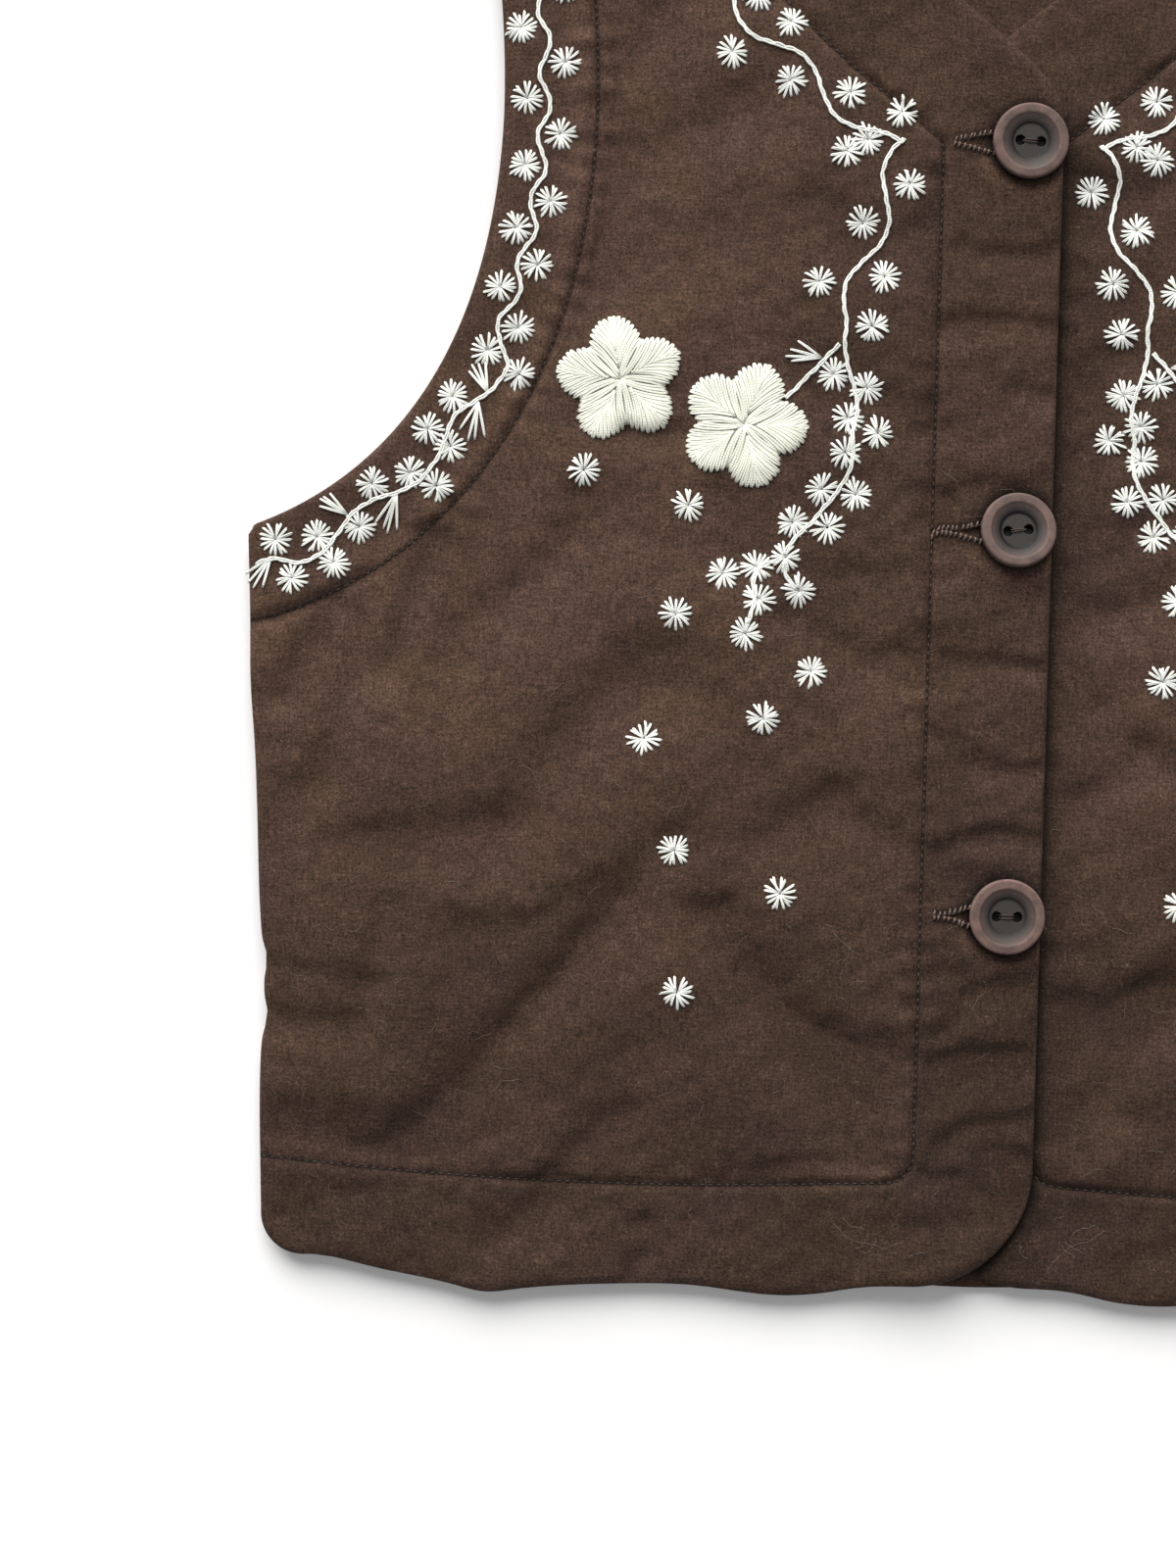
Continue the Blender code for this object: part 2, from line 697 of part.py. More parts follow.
def make_button_thread(number, x, y, foot, bar):
    """The sewing thread of a button: up one hole, across and down the other."""
    bend = 1.5 * THREAD_RADIUS
    turn = arc((BUTTON_HOLE_SPREAD - bend, bar - bend), bend, 0.0, 90.0, 3)
    leg = np.array([[BUTTON_HOLE_SPREAD, foot]])
    half = np.concatenate([leg, turn])
    route = np.concatenate([half, mirrored(half)[::-1]])
    curve = bpy.data.curves.new(f"button_thread_{number}", "CURVE")
    curve.dimensions = "3D"
    curve.bevel_depth = THREAD_RADIUS * MM
    curve.bevel_resolution = 1
    curve.use_fill_caps = True
    spline = curve.splines.new("POLY")
    spline.points.add(len(route) - 1)
    for point, (offset, height) in zip(spline.points, route):
        point.co = ((x + offset) * MM, (y - MID_HEIGHT) * MM, height * MM, 1.0)
    curve.materials.append(material("brown sewing thread"))
    made = bpy.data.objects.new(f"button_thread_{number}", curve)
    bpy.context.collection.objects.link(made)
    return made


def surface_height(tree, x, y):
    """Height in millimetres of a panel's upper face under a model place."""
    hit = tree.ray_cast(Vector((x * MM, y * MM, 0.1)), Vector((0.0, 0.0, -1.0)))
    if hit[0] is None:
        raise RuntimeError(f"nothing lies under the place {x:.1f}, {y:.1f}")
    return hit[0].z / MM


def make_flower(name, x, y, turn, tree):
    """A padded flower of five petals that follows the panel it is worked on."""
    angle = np.linspace(0.0, 2.0 * math.pi, FLOWER_SIDES + 1)[:-1]
    petal = PETAL_NOTCH + (1.0 - PETAL_NOTCH) * np.abs(np.cos(2.5 * angle)) ** PETAL_BLUNTNESS
    turned = angle + math.radians(turn)
    rim = FLOWER_RADIUS * petal[:, None] * np.stack([np.cos(turned), np.sin(turned)], 1)
    centre = np.array([x, y - MID_HEIGHT])
    vertices = []
    for share, height in FLOWER_LEVELS:
        for spot in centre + share * rim:
            ground = surface_height(tree, *spot) + FLOWER_LIFT
            vertices.append((*spot, ground + height * FLOWER_HEIGHT))
    ground = surface_height(tree, *centre) + FLOWER_LIFT
    vertices += [(*centre, ground), (*centre, ground + FLOWER_DIMPLE * FLOWER_HEIGHT)]
    faces = []
    for level in range(len(FLOWER_LEVELS) - 1):
        first, second = level * FLOWER_SIDES, (level + 1) * FLOWER_SIDES
        faces += ring_faces(first, second, FLOWER_SIDES)
    middle = len(FLOWER_LEVELS) * FLOWER_SIDES
    faces += cap_faces(middle - FLOWER_SIDES, middle + 1, FLOWER_SIDES)
    faces += [face[::-1] for face in cap_faces(0, middle, FLOWER_SIDES)]
    shape = np.array(vertices) * MM
    return object_from(name, shape, faces, "cream embroidery thread", 60.0)


def main():
    for existing in list(bpy.data.objects):
        bpy.data.objects.remove(existing)
    make_back()
    right = make_front("front_right", 1.0, FOLDS_RIGHT, True)
    left = make_front("front_left", -1.0, FOLDS_LEFT, False)
    bpy.context.view_layer.update()
    graph = bpy.context.evaluated_depsgraph_get()
    for panel_name, front, side in (("right", right, 1.0), ("left", left, -1.0)):
        tree = BVHTree.FromObject(front, graph)
        for name, x, y, turn in FLOWERS:
            angle = turn if side > 0 else 180.0 - turn
            make_flower(f"flower_{panel_name}_{name}", side * x, y, angle, tree)
    seat = FRONT_UNDER + LAP_LIFT + BAND_WALL + SEAM_GAP
    foot = FRONT_UNDER + BAND_WALL + SEAM_GAP
    bar = seat + BUTTON_RECESS + THREAD_RADIUS + SEAM_GAP
    for number, y in enumerate(BUTTON_HEIGHTS, start=1):
        make_button(number, BUTTON_X, y, seat)
        make_button_thread(number, BUTTON_X, y, foot, bar)


main()
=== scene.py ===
"""Dressing of the embroidered waistcoat: padded cotton, sewing, embroidery and buttons.

Sizes are in millimetres in the garment's own places: x runs from the wearer's right
(negative) to the wearer's left with 0 at the centre back, y runs up from the hem, and
heights start at the surface that the waistcoat lies on. A front is worked out as the
wearer's right one, and side is -1 where it is mirrored into the left one. Meshes are in
metres in the frame's places.
"""

import math

import bpy
import numpy as np
from bpy.props import FloatProperty, FloatVectorProperty, IntProperty, PointerProperty
from bpy.types import Operator, Panel, PropertyGroup
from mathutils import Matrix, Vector


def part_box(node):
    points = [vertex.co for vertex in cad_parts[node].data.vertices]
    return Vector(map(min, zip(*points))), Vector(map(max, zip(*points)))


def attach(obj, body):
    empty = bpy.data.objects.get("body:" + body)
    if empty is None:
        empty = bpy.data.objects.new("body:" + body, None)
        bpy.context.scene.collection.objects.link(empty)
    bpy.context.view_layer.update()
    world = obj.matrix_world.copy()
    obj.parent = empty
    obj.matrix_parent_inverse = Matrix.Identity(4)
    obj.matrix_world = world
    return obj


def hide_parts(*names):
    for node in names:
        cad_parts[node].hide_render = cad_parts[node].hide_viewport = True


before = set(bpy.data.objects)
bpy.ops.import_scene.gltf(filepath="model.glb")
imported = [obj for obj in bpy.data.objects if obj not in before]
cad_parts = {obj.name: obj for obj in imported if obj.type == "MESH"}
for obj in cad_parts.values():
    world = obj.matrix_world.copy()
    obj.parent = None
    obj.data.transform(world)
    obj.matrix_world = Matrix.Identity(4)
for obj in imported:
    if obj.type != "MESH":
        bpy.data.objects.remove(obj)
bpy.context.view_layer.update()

bl_info = {
    "name": "Embroidered waistcoat",
    "version": (1, 0, 0),
    "blender": (4, 5, 0),
    "location": "3D View > Sidebar > Waistcoat",
    "description": "Makes the cloth, sewing, embroidery and buttons of a laid-out waistcoat",
    "category": "Add Mesh",
}

MM = 0.001


def node_box(name):
    """Lowest and highest corner of a frame node in millimetres."""
    return [np.array(corner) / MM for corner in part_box(name)]


# Sizes that the frame gives
FRONT_LOW, FRONT_HIGH = node_box("front_right")
FRONT_EDGE = float(FRONT_HIGH[0])
UNDERARM_X = float(FRONT_LOW[0])
BACK_TOP = float(node_box("back")[1][2])
NECK_TOP = 512.0
MID_HEIGHT = NECK_TOP - float(FRONT_HIGH[1])

# Heights of the layers
SEAM_GAP = 0.3
FRONT_UNDER = BACK_TOP + SEAM_GAP
BODY_WALL = 4.2
BAND_WALL = 3.6
THINNEST_WALL = 1.5
RIM_WALL = 2.1
ROUNDING = 4.0
STITCH_DEPTH = 1.3
STITCH_REACH = 1.5
LAP_LIFT = BAND_WALL + SEAM_GAP
LAP_RISE_START = -52.0
LAP_RISE_END = -21.5
PUFF_HEIGHT = 3.0
PUFF_REACH = 38.0
PUFF_SEAM_REACH = 30.0
BODY_EASE = 8.0
EDGE_CURL = 0.6
CURL_REACH = 5.0
BACK_CURL = 2.2
BACK_TOP_FALL = 0.6
BACK_GROOVE = 0.6

# Plan of a front
BAND_WIDTH = 39.7
FRONT_CORNER = 40.0
SIDE_CORNER = 14.0
SIDE_HEM = (-220.8, 4.3)
UNDERARM_ROUNDING = 5.0
UNDERARM = (UNDERARM_X, 245.0)
ARMHOLE = (UNDERARM, (-214.0, 257.0), (-167.0, 290.0), (-165.2, 385.0))
ARMHOLE_TOP = ((-165.2, 385.0), (-165.2, 420.0), (-170.2, 448.0), (-175.2, 474.0))
NECK = ((FRONT_EDGE, 388.0), (FRONT_EDGE, 412.0), (-66.0, 446.0), (-79.2, NECK_TOP))
BACK_NECK = ((0.0, 488.0), (-40.0, 488.0), (-70.0, 496.0), (-79.2, NECK_TOP))
BACK_INSET = 1.4
BACK_HEM_INSET = 0.9
BACK_MIDDLE_DROP = 1.3
ARM_BAND = 31.0
HEM_BAND = 31.0
HEM_BAND_MID = -116.0
HEM_BAND_BOW = 0.0004
BAND_CORNER = 9.0
HEM_WAVES = (
    # x, drop, reach
    (-158, 5, 26),
    (-160, 1.3, 9),
    (-118, 2, 26),
    (-62, 4.6, 27),
    (-217.5, -4.3, 18),
)
HEM_FADE = 30.0
SIDE_DENTS = (
    # y, depth, reach
    (140, 1.3, 60),
    (93, 1.7, 22),
    (102, 1.5, 4.5),
    (83, 1.6, 5),
    (194, -0.7, 16),
)

# Folds of the padded body: the steep side of each one's start, middle and end (x, y)
UPHILL = (-0.24, 0.97)
FOLDS = (
    # start, middle, end, half_width, rise
    ((-103, 150), (-143, 99.5), (-194, 42), 7, -2.7),
    ((-84, 172), (-146, 118), (-206, 66), 11, 0.8),
    ((-90, 126), (-62, 90), (-30, 77), 7, -4),
    ((-58, 84), (-46, 62), (-34, 40), 6, -2.8),
    ((-238, 52), (-215, 45), (-192, 38), 10, -2),
    ((-74, 151), (-62, 158), (-50, 166), 5, -1.6),
    ((-112, 212), (-139, 185), (-157, 155), 8, -2.6),
    ((-155, 156), (-178, 150.5), (-212, 147), 6, -1.9),
    ((-112, 200), (-92, 193), (-74, 168), 8, -1.6),
    ((-172, 117), (-148, 121.5), (-126, 134), 6, -1.6),
    ((-188, 140), (-175, 139), (-163, 138), 5, -0.9),
    ((-196, 126), (-200, 110), (-203, 94), 5, -1.2),
    ((-134, 262), (-146, 240), (-176, 217), 7, -2.1),
    ((-178, 206), (-187, 196), (-197, 183), 5, -1),
    ((-226, 162), (-231, 152), (-238, 142), 6, -1.1),
    ((-226, 57), (-208, 54), (-190, 54), 7, 1.4),
    ((-150, 330), (-138, 350), (-132, 378), 7, -1.3),
    ((-62, 362), (-46, 352), (-24, 354), 6, -1.5),
    ((-90, 392), (-118, 372), (-128, 336), 9, -1.7),
    ((-88, 440), (-112, 424), (-128, 398), 8, -1.4),
)

# Creases below the armhole that have no relief: lines of painted shade in the cloth's colour alone
SHADED_CREASES = (
    # start, middle, end, half_width, share of painted shade in the cloth's colour
    ((-185.5, 250), (-192, 233), (-199, 211), 3.4, -0.34),
    ((-214, 231), (-221, 222), (-231, 209), 3, -0.24),
    ((-165, 268), (-176, 254), (-181, 236), 3, -0.16),
)

# Sharper creases, which also cross the stitched bands, in the same columns as the folds
CREASES = (
    # start, middle, end, half_width, rise
    ((-128, 118), (-138, 104.5), (-158, 81), 3.2, -0.9),
    ((-50, 167), (-39, 155), (-19, 144.5), 4, -1.5),
    ((-63, 225), (-43, 211), (-21, 215), 5, -1.7),
    ((-62, 237), (-50, 237), (-38, 237.5), 4, -0.9),
    ((-46, 268), (-36, 268.5), (-24, 264), 5, -1.1),
    ((-36, 281), (-29, 283), (-21, 286), 4, -1),
    ((-42, 296), (-35, 295.5), (-24, 294), 4, -1),
    ((-91, 263), (-87, 254), (-84, 243), 4, -1.3),
    ((-122, 282), (-113, 281), (-104, 283), 3, -1.2),
    ((-185, 247), (-193.5, 229), (-198, 202), 4, -2.3),
    ((-216, 222), (-223, 209), (-232, 194), 4, -1.1),
    ((-198, 247), (-205, 216), (-217, 170), 5.5, -2.3),
    ((-236, 102.5), (-220, 99.5), (-200, 97), 3, -1.5),
    ((-236, 86), (-226, 84.5), (-206, 84), 4.5, -2.2),
    ((-236, 94), (-225, 94.5), (-212, 92), 4, 0.8),
    ((-237, 71), (-231, 70), (-226, 69), 2.6, -0.8),
    ((-243, 191), (-237, 190), (-231, 191.5), 2.6, -0.7),
    ((-242, 176), (-236, 175), (-231, 176), 2.6, -0.6),
    ((-115, 58), (-127, 50.5), (-137, 38), 4, -1.6),
    ((-158, 51), (-167, 45), (-178, 41), 4, -0.8),
    ((-80, 37), (-63, 41), (-47, 42), 3, -0.8),
    ((-167, 102), (-174, 99), (-181, 95.5), 4, -0.7),
    ((-141, 29), (-148, 22.5), (-158, 16.5), 4, -1.3),
    ((-108, 21), (-108.5, 12), (-113, 1), 3.5, -1.5),
    ((-212, 28), (-207, 27), (-202, 28), 3, -0.8),
    ((-30, 98), (-25, 97.5), (-20, 98), 2.4, -0.7),
    ((-28, 112.5), (-24, 112), (-19, 112), 2.2, -0.7),
    ((-31, 84), (-26, 81), (-21, 79), 2.4, -0.8),
    ((-20, 207.5), (0, 208.5), (21, 206.5), 2.2, -1.6),
    ((-18, 185), (-9, 181.5), (-1, 178), 3, -0.9),
    ((-4, 175), (6, 173), (21, 174.5), 2.8, -1.5),
    ((-15, 145), (-5, 150.5), (4, 152.2), 2.4, -1.4),
    ((2, 152.3), (10, 151.8), (21, 150.5), 2.6, -1.6),
    ((-16, 106.5), (-11, 107), (-6, 105.5), 3, -0.9),
    ((-3, 99.5), (7, 102.5), (21, 105.5), 3, -1.8),
    ((-15, 81), (-11, 87), (-6, 91), 2.4, -0.8),
    ((-13, 76), (2, 79), (21, 78.5), 3, -1.9),
    ((-16, 65), (-11, 68), (-5, 71), 3, -0.8),
    ((-12, 48), (0, 55.5), (21, 58.5), 2.8, -1.6),
    ((4, 47), (11, 47.5), (18, 46.5), 2.4, -0.9),
    ((-18, 39.5), (-13, 38.5), (-7, 38.5), 3, -1.4),
    ((-26, 23), (-16, 21.5), (-4, 25), 3, -0.9),
    ((8, 299), (14, 298), (21, 297), 2.6, -1.2),
    ((-17, 262), (-9, 267), (4, 267), 4, -1.4),
    ((-17, 133), (-9, 138), (2, 139.5), 4, -1.4),
    ((-17, 320), (0, 322), (19, 320), 2.6, -1.4),
    ((-12, 346), (4, 344), (20, 346), 2.8, -1.4),
)

# The left front has the same kinds of folds in other places: moved, and a little lower
LEFT_SHIFT = (-4.0, 17.0)
LEFT_SHARE = 0.85
LAPPED_CREASE = ((-25.0, 60.0), (-24.0, 215.0), (-25.0, 372.0), 5.0, -1.6)

# Soft unevenness of the washed cloth: shortest and longest wave, height of each wave
UNEVEN = (
    # shortest, longest, height
    (24, 60, 0.17),
    (8, 20, 0.055),
)
PUCKER_WAVES = (7.0, 17.0)
PUCKER_HEIGHT = 0.42
PUCKER_REACH = 8.0

# Lattices of the cloth
FRONT_STEP = 1.7
BACK_STEP = 3.4
FINE_STEP = 0.5
HOLE_STEP = 0.7
HOLE_ROWS_REACH = 7.0
HEM_ROWS_REACH = 9.0
EDGE_ZONE = 5.0
STITCH_ZONE = 4.0
STEEPEST_ROW = 2.2
UNDER_EVERY = 3

# Buttons and buttonholes
BUTTON_X = 8.7
BUTTON_HEIGHTS = (123.4, 251.4, 379.4)
BUTTON_TURNS = (0.0, 7.0, -3.0)
BUTTON_GRIME = (0.0, 0.30, 0.1)
BUTTON_WEAR = (1.0, 0.78, 0.9)
BUTTON_TILTS = (
    # degrees, toward: the heading in degrees of the side that is raised
    (0, 0),
    (10, -105),
    (2, -60),
)
RIM_CREASE = 60.0
RECESS = 2.5
HOLE_SPREAD = 3.4
PIT_RADIUS = 1.48
PIT_SLOPE = 0.22
PIT_DEPTH = 2.3
TILT_BEHIND = 4.0
TILT_ABOVE = 6.0
# Wear and painted highlights, and darkening, grime and painted shade, of a button's face: shares,
# and places and reaches out from its middle
DISH_WEAR = ((0.17, 6.2, 2.4), (0.30, 9.0, 0.7))
# Painted highlight: a thin pale line on the rim's inner edge, where its bevel would catch the light
RIM_HIGHLIGHT = ((0.16, 9.6, 0.3),)
RECESS_DARKENING = ((0.65, 6.0, 0.5), (0.15, 7.0, 0.9))
BASE_WEAR = 0.35
# Painted shade in the thread holes: the face below this height and within this reach of the middle
PIT_LEVEL = 2.4
PIT_REACH = 5.3
BUTTON_STRANDS = (
    # for each button its strands, each with its place beside the middle and its slant
    ((-0.55, 0), (0.55, 0)),
    ((-0.30, 0.25), (0.30, -0.05)),
    ((-0.42, -0.1), (0.42, 0.15)),
)
BUTTON_SEAT = FRONT_UNDER + LAP_LIFT + BAND_WALL + SEAM_GAP
LIPS = (
    # places along the upper and the lower edge of a buttonhole, from its button's height
    (
        ((-15.6, -0.2), (-12.5, -0.1), (-8.4, 0.6), (-5.7, 1.6), (-3.5, 2.5), (4, 2.8), (12.8, 0)),
        ((-15.6, -0.9), (-12.5, -0.8), (-8.4, -1.3), (-5.7, -2.4), (-3.5, -3.2), (4, -3.2), (12.8, -0.5)),
    ),
    (
        ((-19.6, -2.5), (-16.4, -0.3), (-11.9, -0.6), (-6.8, 0.3), (-3.8, 1.2), (4, 2), (12.8, 0)),
        ((-19.8, -3.1), (-16.4, -1.2), (-11.9, -1.8), (-6.8, -3.1), (-3.8, -4), (4, -3.6), (12.8, -0.5)),
    ),
    (
        ((-16.4, -0.2), (-12.5, 0.7), (-8, 1.7), (-3.5, 2.6), (3, 3), (9, 2), (12.8, 0)),
        ((-16.4, -0.8), (-12.5, -1.5), (-8, -2.6), (-3.5, -3.6), (3, -3.5), (9, -2.4), (12.8, -0.5)),
    ),
)
HOLE_DEPTH = 0.8
HOLE_SLOPE = 0.9
DIMPLE_DEPTH = 0.7
DIMPLE_FLAT = 10.0
DIMPLE_REACH = 7.0

# Embroidery: flowers, stars and vines of a front
FLOWERS = (
    # name, x, y, turn of one petal in degrees, bluntness of the petals
    ("1", -124, 297.1, 28, 0.88),
    ("2", -82.7, 283.1, 70, 0.66),
)
FLOWER_RADIUS = 21.3
PETAL_NOTCH = 0.67
PETALS = 5
STARS = (
    # x, y
    (-236.6, 240.7), (-222.8, 242.1), (-230.8, 228.2), (-217.2, 233.8), (-209.1, 245.8),
    (-205.2, 260.2), (-192.7, 264.1), (-183.9, 260.2), (-179.6, 273.3), (-187.2, 278.9),
    (-179.4, 290), (-157.6, 297.8), (-168.2, 305.5),
    (-53.5, 300.8), (-42.5, 296.8), (-48.5, 286.5), (-38.5, 281.8), (-49, 275.1),
    (-44.9, 261.5), (-56.5, 262.7), (-65.7, 251.4), (-54, 250.2), (-88, 234.2),
    (-77.3, 236.4), (-67.8, 239.8), (-62.8, 228.9), (-76.2, 225.6), (-80.2, 214),
    (-135.2, 266.8), (-100.3, 255.9), (-103.5, 220.1), (-112.7, 178.5), (-101.5, 141.8),
    (-99.3, 95.1), (-66.3, 128.6), (-73.5, 186.2), (-58.2, 202.3),
)
ARM_VINE = (
    # x, y
    (-243.8, 231.7), (-237.8, 235.1), (-230.6, 233.1), (-225.2, 233.9), (-220.1, 237.6),
    (-215.9, 243.6), (-213.2, 248.2), (-208.8, 252.9), (-202.8, 255.7), (-194.7, 258.2),
    (-189.6, 261.3), (-185.2, 266.9), (-181.8, 273.2), (-180.3, 280.4), (-177.7, 285),
    (-172.6, 288.1), (-167.1, 291.5), (-163.7, 296.2), (-160.8, 299.8), (-162.2, 304),
)
NECK_VINE = (
    # x, y
    (-68.3, 239.6), (-66.2, 245.2), (-61.2, 249.6), (-56.2, 255.6), (-52.5, 260.3),
    (-48.8, 265.6), (-47, 270.2), (-45.8, 274.4), (-47.2, 280.2), (-45.8, 285.8),
    (-45, 291.7), (-46.4, 296.2), (-48.5, 302.6), (-50.4, 310),
)
BRANCHES = (
    # places along each branch, from the vine
    ((-68.3, 239.6), (-72.8, 237.9), (-77, 236.1), (-78.2, 231.2), (-77.3, 225.7), (-79.5, 217)),
    ((-68.3, 239), (-67.5, 233.8), (-63.5, 229.1)),
    ((-69.7, 291.9), (-64, 297.9), (-57.7, 304.6), (-51.5, 311.5)),
)
SPRAYS = (
    # base x, base y, tip x, tip y
    (-237.8, 235.1, -242.6, 227.8),
    (-213.2, 249.9, -220.2, 253.9),
    (-196.9, 257.5, -199.6, 247.7),
    (-167.8, 291.5, -171.6, 299.2),
    (-170.8, 288.5, -172.2, 278.7),
    (-57.8, 306.2, -66.2, 307.6),
)
VINE_PITCH = 21.0
VINE_SWAY = 4.0
STAR_STEP = 12.5
STAR_OFFSET = 8.5

# Loose lint on the cloth: start (x, y), heading in degrees, length
LONG_LINT = (
    # x, y, heading, length
    (-51, 119, 10, 18),
    (-45, 20, -48, 26),
    (-17, 270, -4, 11),
    (-104, 147, 80, 16),
    (-126, 170, -60, 12),
    (-204, 116, -70, 10),
    (-67, 214, 30, 12),
    (-118, 226, 12, 15),
    (-186, 196, -20, 10),
    (-154, 168, 60, 12),
    (-92, 61, -75, 9),
    (-160, 60, 25, 12),
    (2, 102, -10, 12),
    (-42, 22, -35, 9),
    (-38, 12, 25, 8),
    (-31, 15, -70, 7),
    (-20, 10, 60, 6),
    (-24, 150, 70, 6),
)


# Starts of the random draws
SEEDS = {
    "right front": 11, "left front": 23, "stitches": 31, "back stitches": 37,
    "stars": 41, "vines": 47, "lint": 53, "buttonholes": 61,
}


# Settings that a user may change

# The three channels of a colour
CHANNELS = {"size": 3, "min": 0.0, "max": 1.0}


class WAISTCOAT_PG_cloth(PropertyGroup):
    """The cotton."""

    colour: FloatVectorProperty(
        name="Cotton", description="Colour of the brown cotton",
        default=(0.0730, 0.0415, 0.0278), subtype="COLOR", **CHANNELS,
    )
    thread_pitch: FloatProperty(
        name="Thread pitch", description="Distance between two threads of the weave",
        default=0.00046, min=0.0002, max=0.002, unit="LENGTH",
    )
    crumple: FloatProperty(
        name="Crumple", description="Strength of the soft unevenness of the washed cloth",
        default=1.0, min=0.0, max=3.0, subtype="FACTOR",
    )


class WAISTCOAT_PG_sewing(PropertyGroup):
    """The topstitching and the buttonholes."""

    colour: FloatVectorProperty(
        name="Sewing thread", description="Colour of the brown sewing thread",
        default=(0.090, 0.059, 0.044), subtype="COLOR", **CHANNELS,
    )
    pitch: FloatProperty(
        name="Stitch pitch", description="Distance from one topstitch to the next",
        default=0.0028, min=0.001, max=0.01, unit="LENGTH",
    )
    gap: FloatProperty(
        name="Stitch gap", description="Gap between two topstitches",
        default=0.0010, min=0.0, max=0.002, unit="LENGTH",
    )
    radius: FloatProperty(
        name="Thread radius", description="Radius of the sewing thread",
        default=0.00023, min=0.00005, max=0.001, unit="LENGTH",
    )


class WAISTCOAT_PG_embroidery(PropertyGroup):
    """The flowers, stars and vines."""

    colour: FloatVectorProperty(
        name="Embroidery thread", description="Colour of the cream thread of the flowers",
        default=(0.91, 0.92, 0.785), subtype="COLOR", **CHANNELS,
    )
    star_colour: FloatVectorProperty(
        name="Star thread", description="Colour of the cooler white thread of the stars and vines",
        default=(0.90, 0.92, 0.86), subtype="COLOR", **CHANNELS,
    )
    strand_radius: FloatProperty(
        name="Strand radius", description="Radius of one strand of the embroidery thread",
        default=0.00027, min=0.0001, max=0.001, unit="LENGTH",
    )
    star_radius: FloatProperty(
        name="Star radius", description="Reach of a star's stitches from its middle",
        default=0.0055, min=0.002, max=0.02, unit="LENGTH",
    )
    dome: FloatProperty(
        name="Flower dome", description="Height of the padding under a flower's petals",
        default=0.0012, min=0.0, max=0.004, unit="LENGTH",
    )


class WAISTCOAT_PG_buttons(PropertyGroup):
    """The turned buttons."""

    colour: FloatVectorProperty(
        name="Button", description="Colour of a button's dish and middle",
        default=(0.048, 0.041, 0.038), subtype="COLOR", **CHANNELS,
    )
    worn: FloatVectorProperty(
        name="Worn rim", description="Colour of the worn edge of a button's rim",
        default=(0.245, 0.148, 0.125), subtype="COLOR", **CHANNELS,
    )
    radius: FloatProperty(
        name="Button radius", description="Radius of a button",
        default=0.0125, min=0.005, max=0.02, unit="LENGTH",
    )
    thickness: FloatProperty(
        name="Button thickness", description="Thickness of a button at its rim",
        default=0.0044, min=0.001, max=0.01, unit="LENGTH",
    )


class WAISTCOAT_PG_stage(PropertyGroup):
    """The floor, the light and the camera."""

    floor_colour: FloatVectorProperty(
        name="Floor", description="Colour of the pale floor",
        default=(0.90, 0.90, 0.90), subtype="COLOR", **CHANNELS,
    )
    key: FloatProperty(
        name="Key light", description="Strength of the soft light from beyond the shoulders",
        default=5.2, min=0.0, max=20.0,
    )
    fill: FloatProperty(
        name="Fill light", description="Strength of the even light from all round",
        default=0.30, min=0.0, max=5.0,
    )
    camera_height: FloatProperty(
        name="Camera height", description="Height of the camera above the cloth",
        default=1.2, min=0.3, max=5.0, unit="LENGTH",
    )
    lint_count: IntProperty(
        name="Lint hairs", description="Number of short lint hairs on each front",
        default=150, min=0, max=2000,
    )


# Curves of the plan, each an array with one (x, y) row for each point


def polar(reach, angle):
    """Offsets (x, y) at a reach and an angle in radians."""
    return np.stack(np.broadcast_arrays(reach * np.cos(angle), reach * np.sin(angle)), -1)


def leftward(vectors):
    """Vectors (x, y) turned a quarter turn to the left: (-y, x)."""
    return np.stack([-vectors[..., 1], vectors[..., 0]], -1)


def turned(vectors, angle):
    """Vectors (x, y) turned by an angle: (x cos - y sin, x sin + y cos)."""
    x, y = vectors[..., 0], vectors[..., 1]
    cos, sin = math.cos(angle), math.sin(angle)
    return np.stack([x * cos - y * sin, x * sin + y * cos], -1)


def lengths_along(path):
    """Distance from the path's start to each of its points."""
    runs = np.linalg.norm(np.diff(path, axis=0), axis=1)
    return np.concatenate([[0.0], np.cumsum(runs)])


def length_of(path):
    """Length of a path."""
    return lengths_along(path)[-1]


def spot(path, lengths):
    """Points at given distances from the path's start."""
    known = lengths_along(path)
    return np.stack([np.interp(lengths, known, axis) for axis in np.transpose(path)], 1)


def shared(path, shares):
    """Points at given shares, 0 to 1, of the path's length."""
    return spot(path, np.asarray(shares) * length_of(path))


def even(path, step):
    """The path with points spread evenly along it, about one step apart."""
    count = max(2, int(round(length_of(path) / step)) + 1)
    return shared(path, np.linspace(0.0, 1.0, count))


def straight(start, end, step=3.0):
    """Points on a straight line, about one step apart, both ends included."""
    return even(np.array([start, end], float), step)


def bezier(controls, step=3.0):
    """Even points on the cubic Bezier curve with four control points."""
    first, second, third, last = (np.array(point, float) for point in controls)
    t = np.linspace(0.0, 1.0, 200)[:, None]
    curve = (1 - t) ** 3 * first + 3 * (1 - t) ** 2 * t * second
    return even(curve + 3 * (1 - t) * t**2 * third + t**3 * last, step)


def arc(centre, radius, start, end, count=24):
    """Points on a circular arc between two angles in degrees."""
    return np.array(centre) + radius * polar(1, np.radians(np.linspace(start, end, count)))


def rounded(points, step=0.8):
    """A smooth path through a few places: the mean of a sliding window of 2 steps in 4."""
    path = even(np.array(points, float), step)
    reach = 4
    padded = np.vstack([np.repeat(path[:1], reach, 0), path, np.repeat(path[-1:], reach, 0)])
    window = np.hanning(2 * reach + 3)[1:-1]
    window /= window.sum()
    return np.stack([np.convolve(axis, window, mode="valid") for axis in padded.T], 1)


